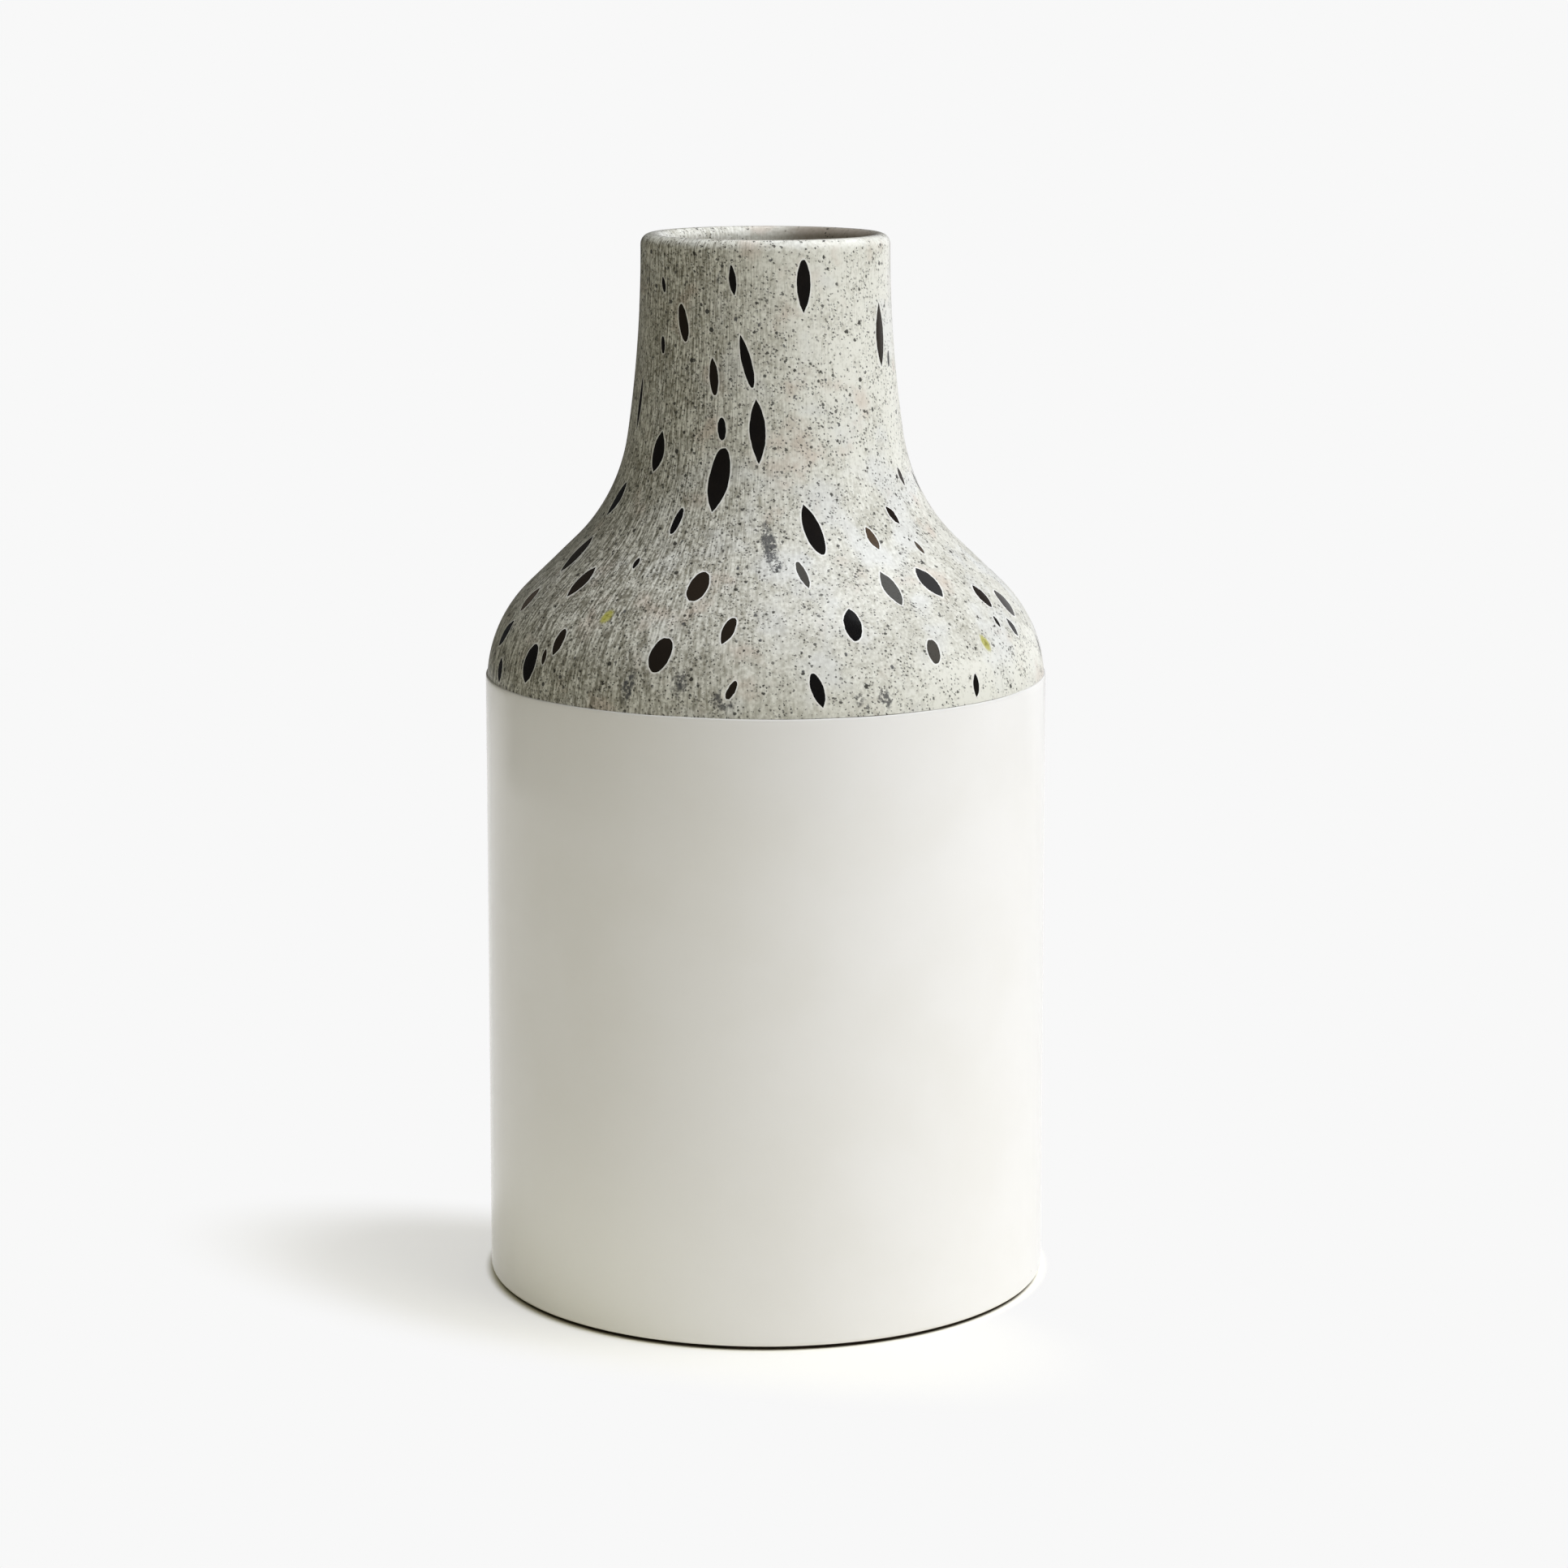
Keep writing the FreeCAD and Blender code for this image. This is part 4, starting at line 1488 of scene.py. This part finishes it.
@dataclass
class Studio:
    """Pale table, soft light and the camera."""

    paper: float = 0.939
    sky: float = 0.229
    sky_tint: Colour = (1.0, 0.96, 0.755)
    dark_room: float = 0.05
    softboxes: tuple[Softbox, ...] = (
        Softbox("key_softbox", 67.0, 60.0, 1.8, 1.05, 1.3, 39.2, (0.89, 0.92, 1.0), False),
        Softbox("rim_softbox", 140.0, 58.0, 1.6, 1.5, 1.1, 5.2, (0.93, 0.955, 1.0), True),
    )
    target_height: float = 0.12
    table_rings: int = 24
    table_segments: int = 96
    table_reach: float = 0.8
    white: Colour = (1.0, 1.0, 1.0)
    paper_tints: tuple[Colour, Colour] = ((0.945, 0.92, 0.81), (0.965, 0.94, 0.83))
    # Painted warm tint of the shadow near the foot, at its left.
    painted_shadow_warmth: Colour = (0.935, 0.905, 0.75)
    painted_warmth_reach: Point = (90.0, 135.0)
    painted_warmth_side: Point = (-60.0, 0.0)
    # Painted shadow under the foot's edge.
    painted_gap_shadow: Colour = (0.10, 0.07, 0.05)
    painted_gap_reach: Point = (78.6, 80.0)
    beyond_foot: Point = (79.6, 83.0)
    plain_least: float = 0.60
    shade_middle: Point = (-44.0, -14.0)
    shade_size: Point = (134.0, 70.0)
    shade_pivot: float = -83.0
    shade_slant: float = 0.45
    shade_fade: Point = (0.60, 1.08)
    camera_place: Triple = (0.0052, -1.133, 0.370)
    camera_pitch: float = 11.34
    focal_pixels: float = 4955.0
    sensor: float = 36.0

    def ray_kinds(self, bench: Bench) -> tuple[Wire, Wire]:
        """Tells kinds of ray apart.

        Args:
            bench: where the nodes go.

        Returns:
            One or zero for rays that look straight or through, and the same for mirrored ones.
        """
        path = bench.node("ShaderNodeLightPath", {}, {})
        straight, mirrored, through = (Wire(bench, path.outputs[name]) for name in
                                       ("Is Camera Ray", "Is Glossy Ray", "Is Transmission Ray"))
        return bench.most(straight, through), mirrored

    def build_world(self) -> None:
        """Paper white to look at, white behind and dark in front in mirrored rays, and a weak warm light."""
        world = bpy.data.worlds.new("studio_room")
        world.use_nodes = True
        bpy.context.scene.world = world
        bench = Bench(world.node_tree)
        straight, mirrored = self.ray_kinds(bench)
        side, behind, up = bench.parts(bench.wire("ShaderNodeTexCoord", {}, {}, "Generated"))
        back_wall = behind.rise(0.40, 0.80) * bench.most(up.fall(-0.20, -0.10), side.rise(0.0, 0.4))
        right_wall = side.rise(0.15, 0.75) * up.fall(-0.17, -0.10) * 0.8
        white = bench.most(back_wall, right_wall, up.fall(-0.26, -0.14))
        room = self.dark_room + white * up.fall(0.10, 0.45) * (self.paper - self.dark_room)
        lit, mirror, seen = (bench.glow("ShaderNodeBackground", tint, strength) for tint, strength in
                             ((self.sky_tint, self.sky), (self.white, room), (self.white, self.paper)))
        unseen = bench.mixed(mirrored, lit, mirror)
        bench.output(bench.mixed(straight, unseen, seen), "ShaderNodeOutputWorld")

    def build_table(self) -> None:
        """A pale round table top that keeps the vase's shadow and is plain paper white further off, with a
        painted shadow under the foot's edge and a painted warm tint in the shadow at its left.
        """
        reach = self.table_reach / MILLIMETRE
        rings = [(reach * (n / self.table_rings) ** 1.5, 0.0) for n in range(self.table_rings + 1)]
        table = Turning("table_top", rings, closed=False, segments=self.table_segments).build()
        material, bench, place = new_material("table_paper")
        x, y, _ = bench.parts(place)
        radius = bench.maths("SQRT", x * x + y * y)
        across = (x - self.shade_middle[0]) / self.shade_size[0]
        along = (y - self.shade_middle[1] + (x - self.shade_pivot) * self.shade_slant) / self.shade_size[1]
        away = bench.maths("SQRT", across * across + along * along)
        plain = away.rise(*self.shade_fade) * (1 - self.plain_least) + self.plain_least
        paper = bench.blend(bench.noise(place, 3.0, 2.0), *self.paper_tints)
        # Painted shade: a warmer tint in the shadow near the foot, at its left.
        warm = radius.fall(*self.painted_warmth_reach) * x.fall(*self.painted_warmth_side)
        paper = bench.blend(warm, paper, self.painted_shadow_warmth)
        # Painted shadow: the paper under the foot's edge is dark.
        paper = bench.blend(radius.fall(*self.painted_gap_reach) * 0.94, paper, self.painted_gap_shadow)
        matt = bench.wire("ShaderNodeBsdfDiffuse", {}, {"Color": paper})
        share = plain * radius.rise(*self.beyond_foot) * bench.most(*self.ray_kinds(bench))
        bench.output(bench.mixed(share, matt, bench.glow("ShaderNodeEmission", self.white, self.paper)))
        table.data.materials.append(material)

    def build_softbox(self, softbox: Softbox) -> None:
        """Hangs one softbox, turned towards the vase.

        Args:
            softbox: the softbox.
        """
        lamp = bpy.data.lights.new(softbox.name, "AREA")
        lamp.shape = "RECTANGLE"
        lamp.size, lamp.size_y = softbox.width, softbox.height
        lamp.energy = softbox.power
        lamp.color = softbox.tint
        lit = bpy.data.objects.new(softbox.name, lamp)
        lit.visible_glossy = softbox.mirrored
        bpy.context.scene.collection.objects.link(lit)
        around, rise = math.radians(softbox.around), math.radians(softbox.rise)
        level = math.cos(rise)
        towards = Vector((level * math.sin(around), -level * math.cos(around), math.sin(rise)))
        lit.location = Vector((0.0, 0.0, self.target_height)) + towards * softbox.distance
        lit.rotation_euler = towards.to_track_quat("Z", "Y").to_euler()

    def build_camera(self) -> None:
        """The camera at the photograph's place, with the photograph's lens."""
        lens = bpy.data.cameras.new("studio_camera")
        lens.sensor_width = self.sensor
        lens.lens = self.focal_pixels / PHOTO_WIDTH * self.sensor
        camera = bpy.data.objects.new("studio_camera", lens)
        bpy.context.scene.collection.objects.link(camera)
        camera.location = self.camera_place
        camera.rotation_euler = (math.radians(90 - self.camera_pitch), 0.0, 0.0)
        bpy.context.scene.camera = camera

    def build(self) -> None:
        """Sets up the whole studio."""
        self.build_world()
        self.build_table()
        for softbox in self.softboxes:
            self.build_softbox(softbox)
        self.build_camera()
        bpy.context.scene.view_settings.view_transform = "Standard"
        log.info("studio: room, table, %d softboxes and camera", len(self.softboxes))


BLACK_IRON = IronFinish("black_iron", (0.006, 0.0058, 0.006), (0.022, 0.016, 0.011), (0.014, 0.012, 0.010))
GREY_IRON = IronFinish("grey_iron", (0.072, 0.070, 0.063), (0.080, 0.054, 0.036), (0.03, 0.028, 0.024))


def main() -> None:
    """Builds the vase piece by piece, then the studio, and notes the vase's size."""
    logging.basicConfig(level=logging.INFO, format="%(message)s")
    for piece in (Casting(), BodyGlaze(), NeckGlaze(), Liner()):
        piece.build()
    black, grey, ochre = (MarkReader(kind).marks() for kind in FleckKind)
    log.info("marks found: %d black, %d grey, %d ochre", len(black), len(grey), len(ochre))
    IronFlecks(FleckKind.BLACK, "black_iron_flecks", "black_iron", BLACK_IRON, brown_share=0.35).build(black)
    IronFlecks(FleckKind.GREY, "grey_iron_flecks", "grey_iron", GREY_IRON, brown_share=0.3).build(grey)
    FleckRims().build(black + grey)
    OchreStains().build(ochre)
    for rest in (Smudges(), FootPads(), Studio()):
        rest.build()


if __name__ == "__main__":
    main()
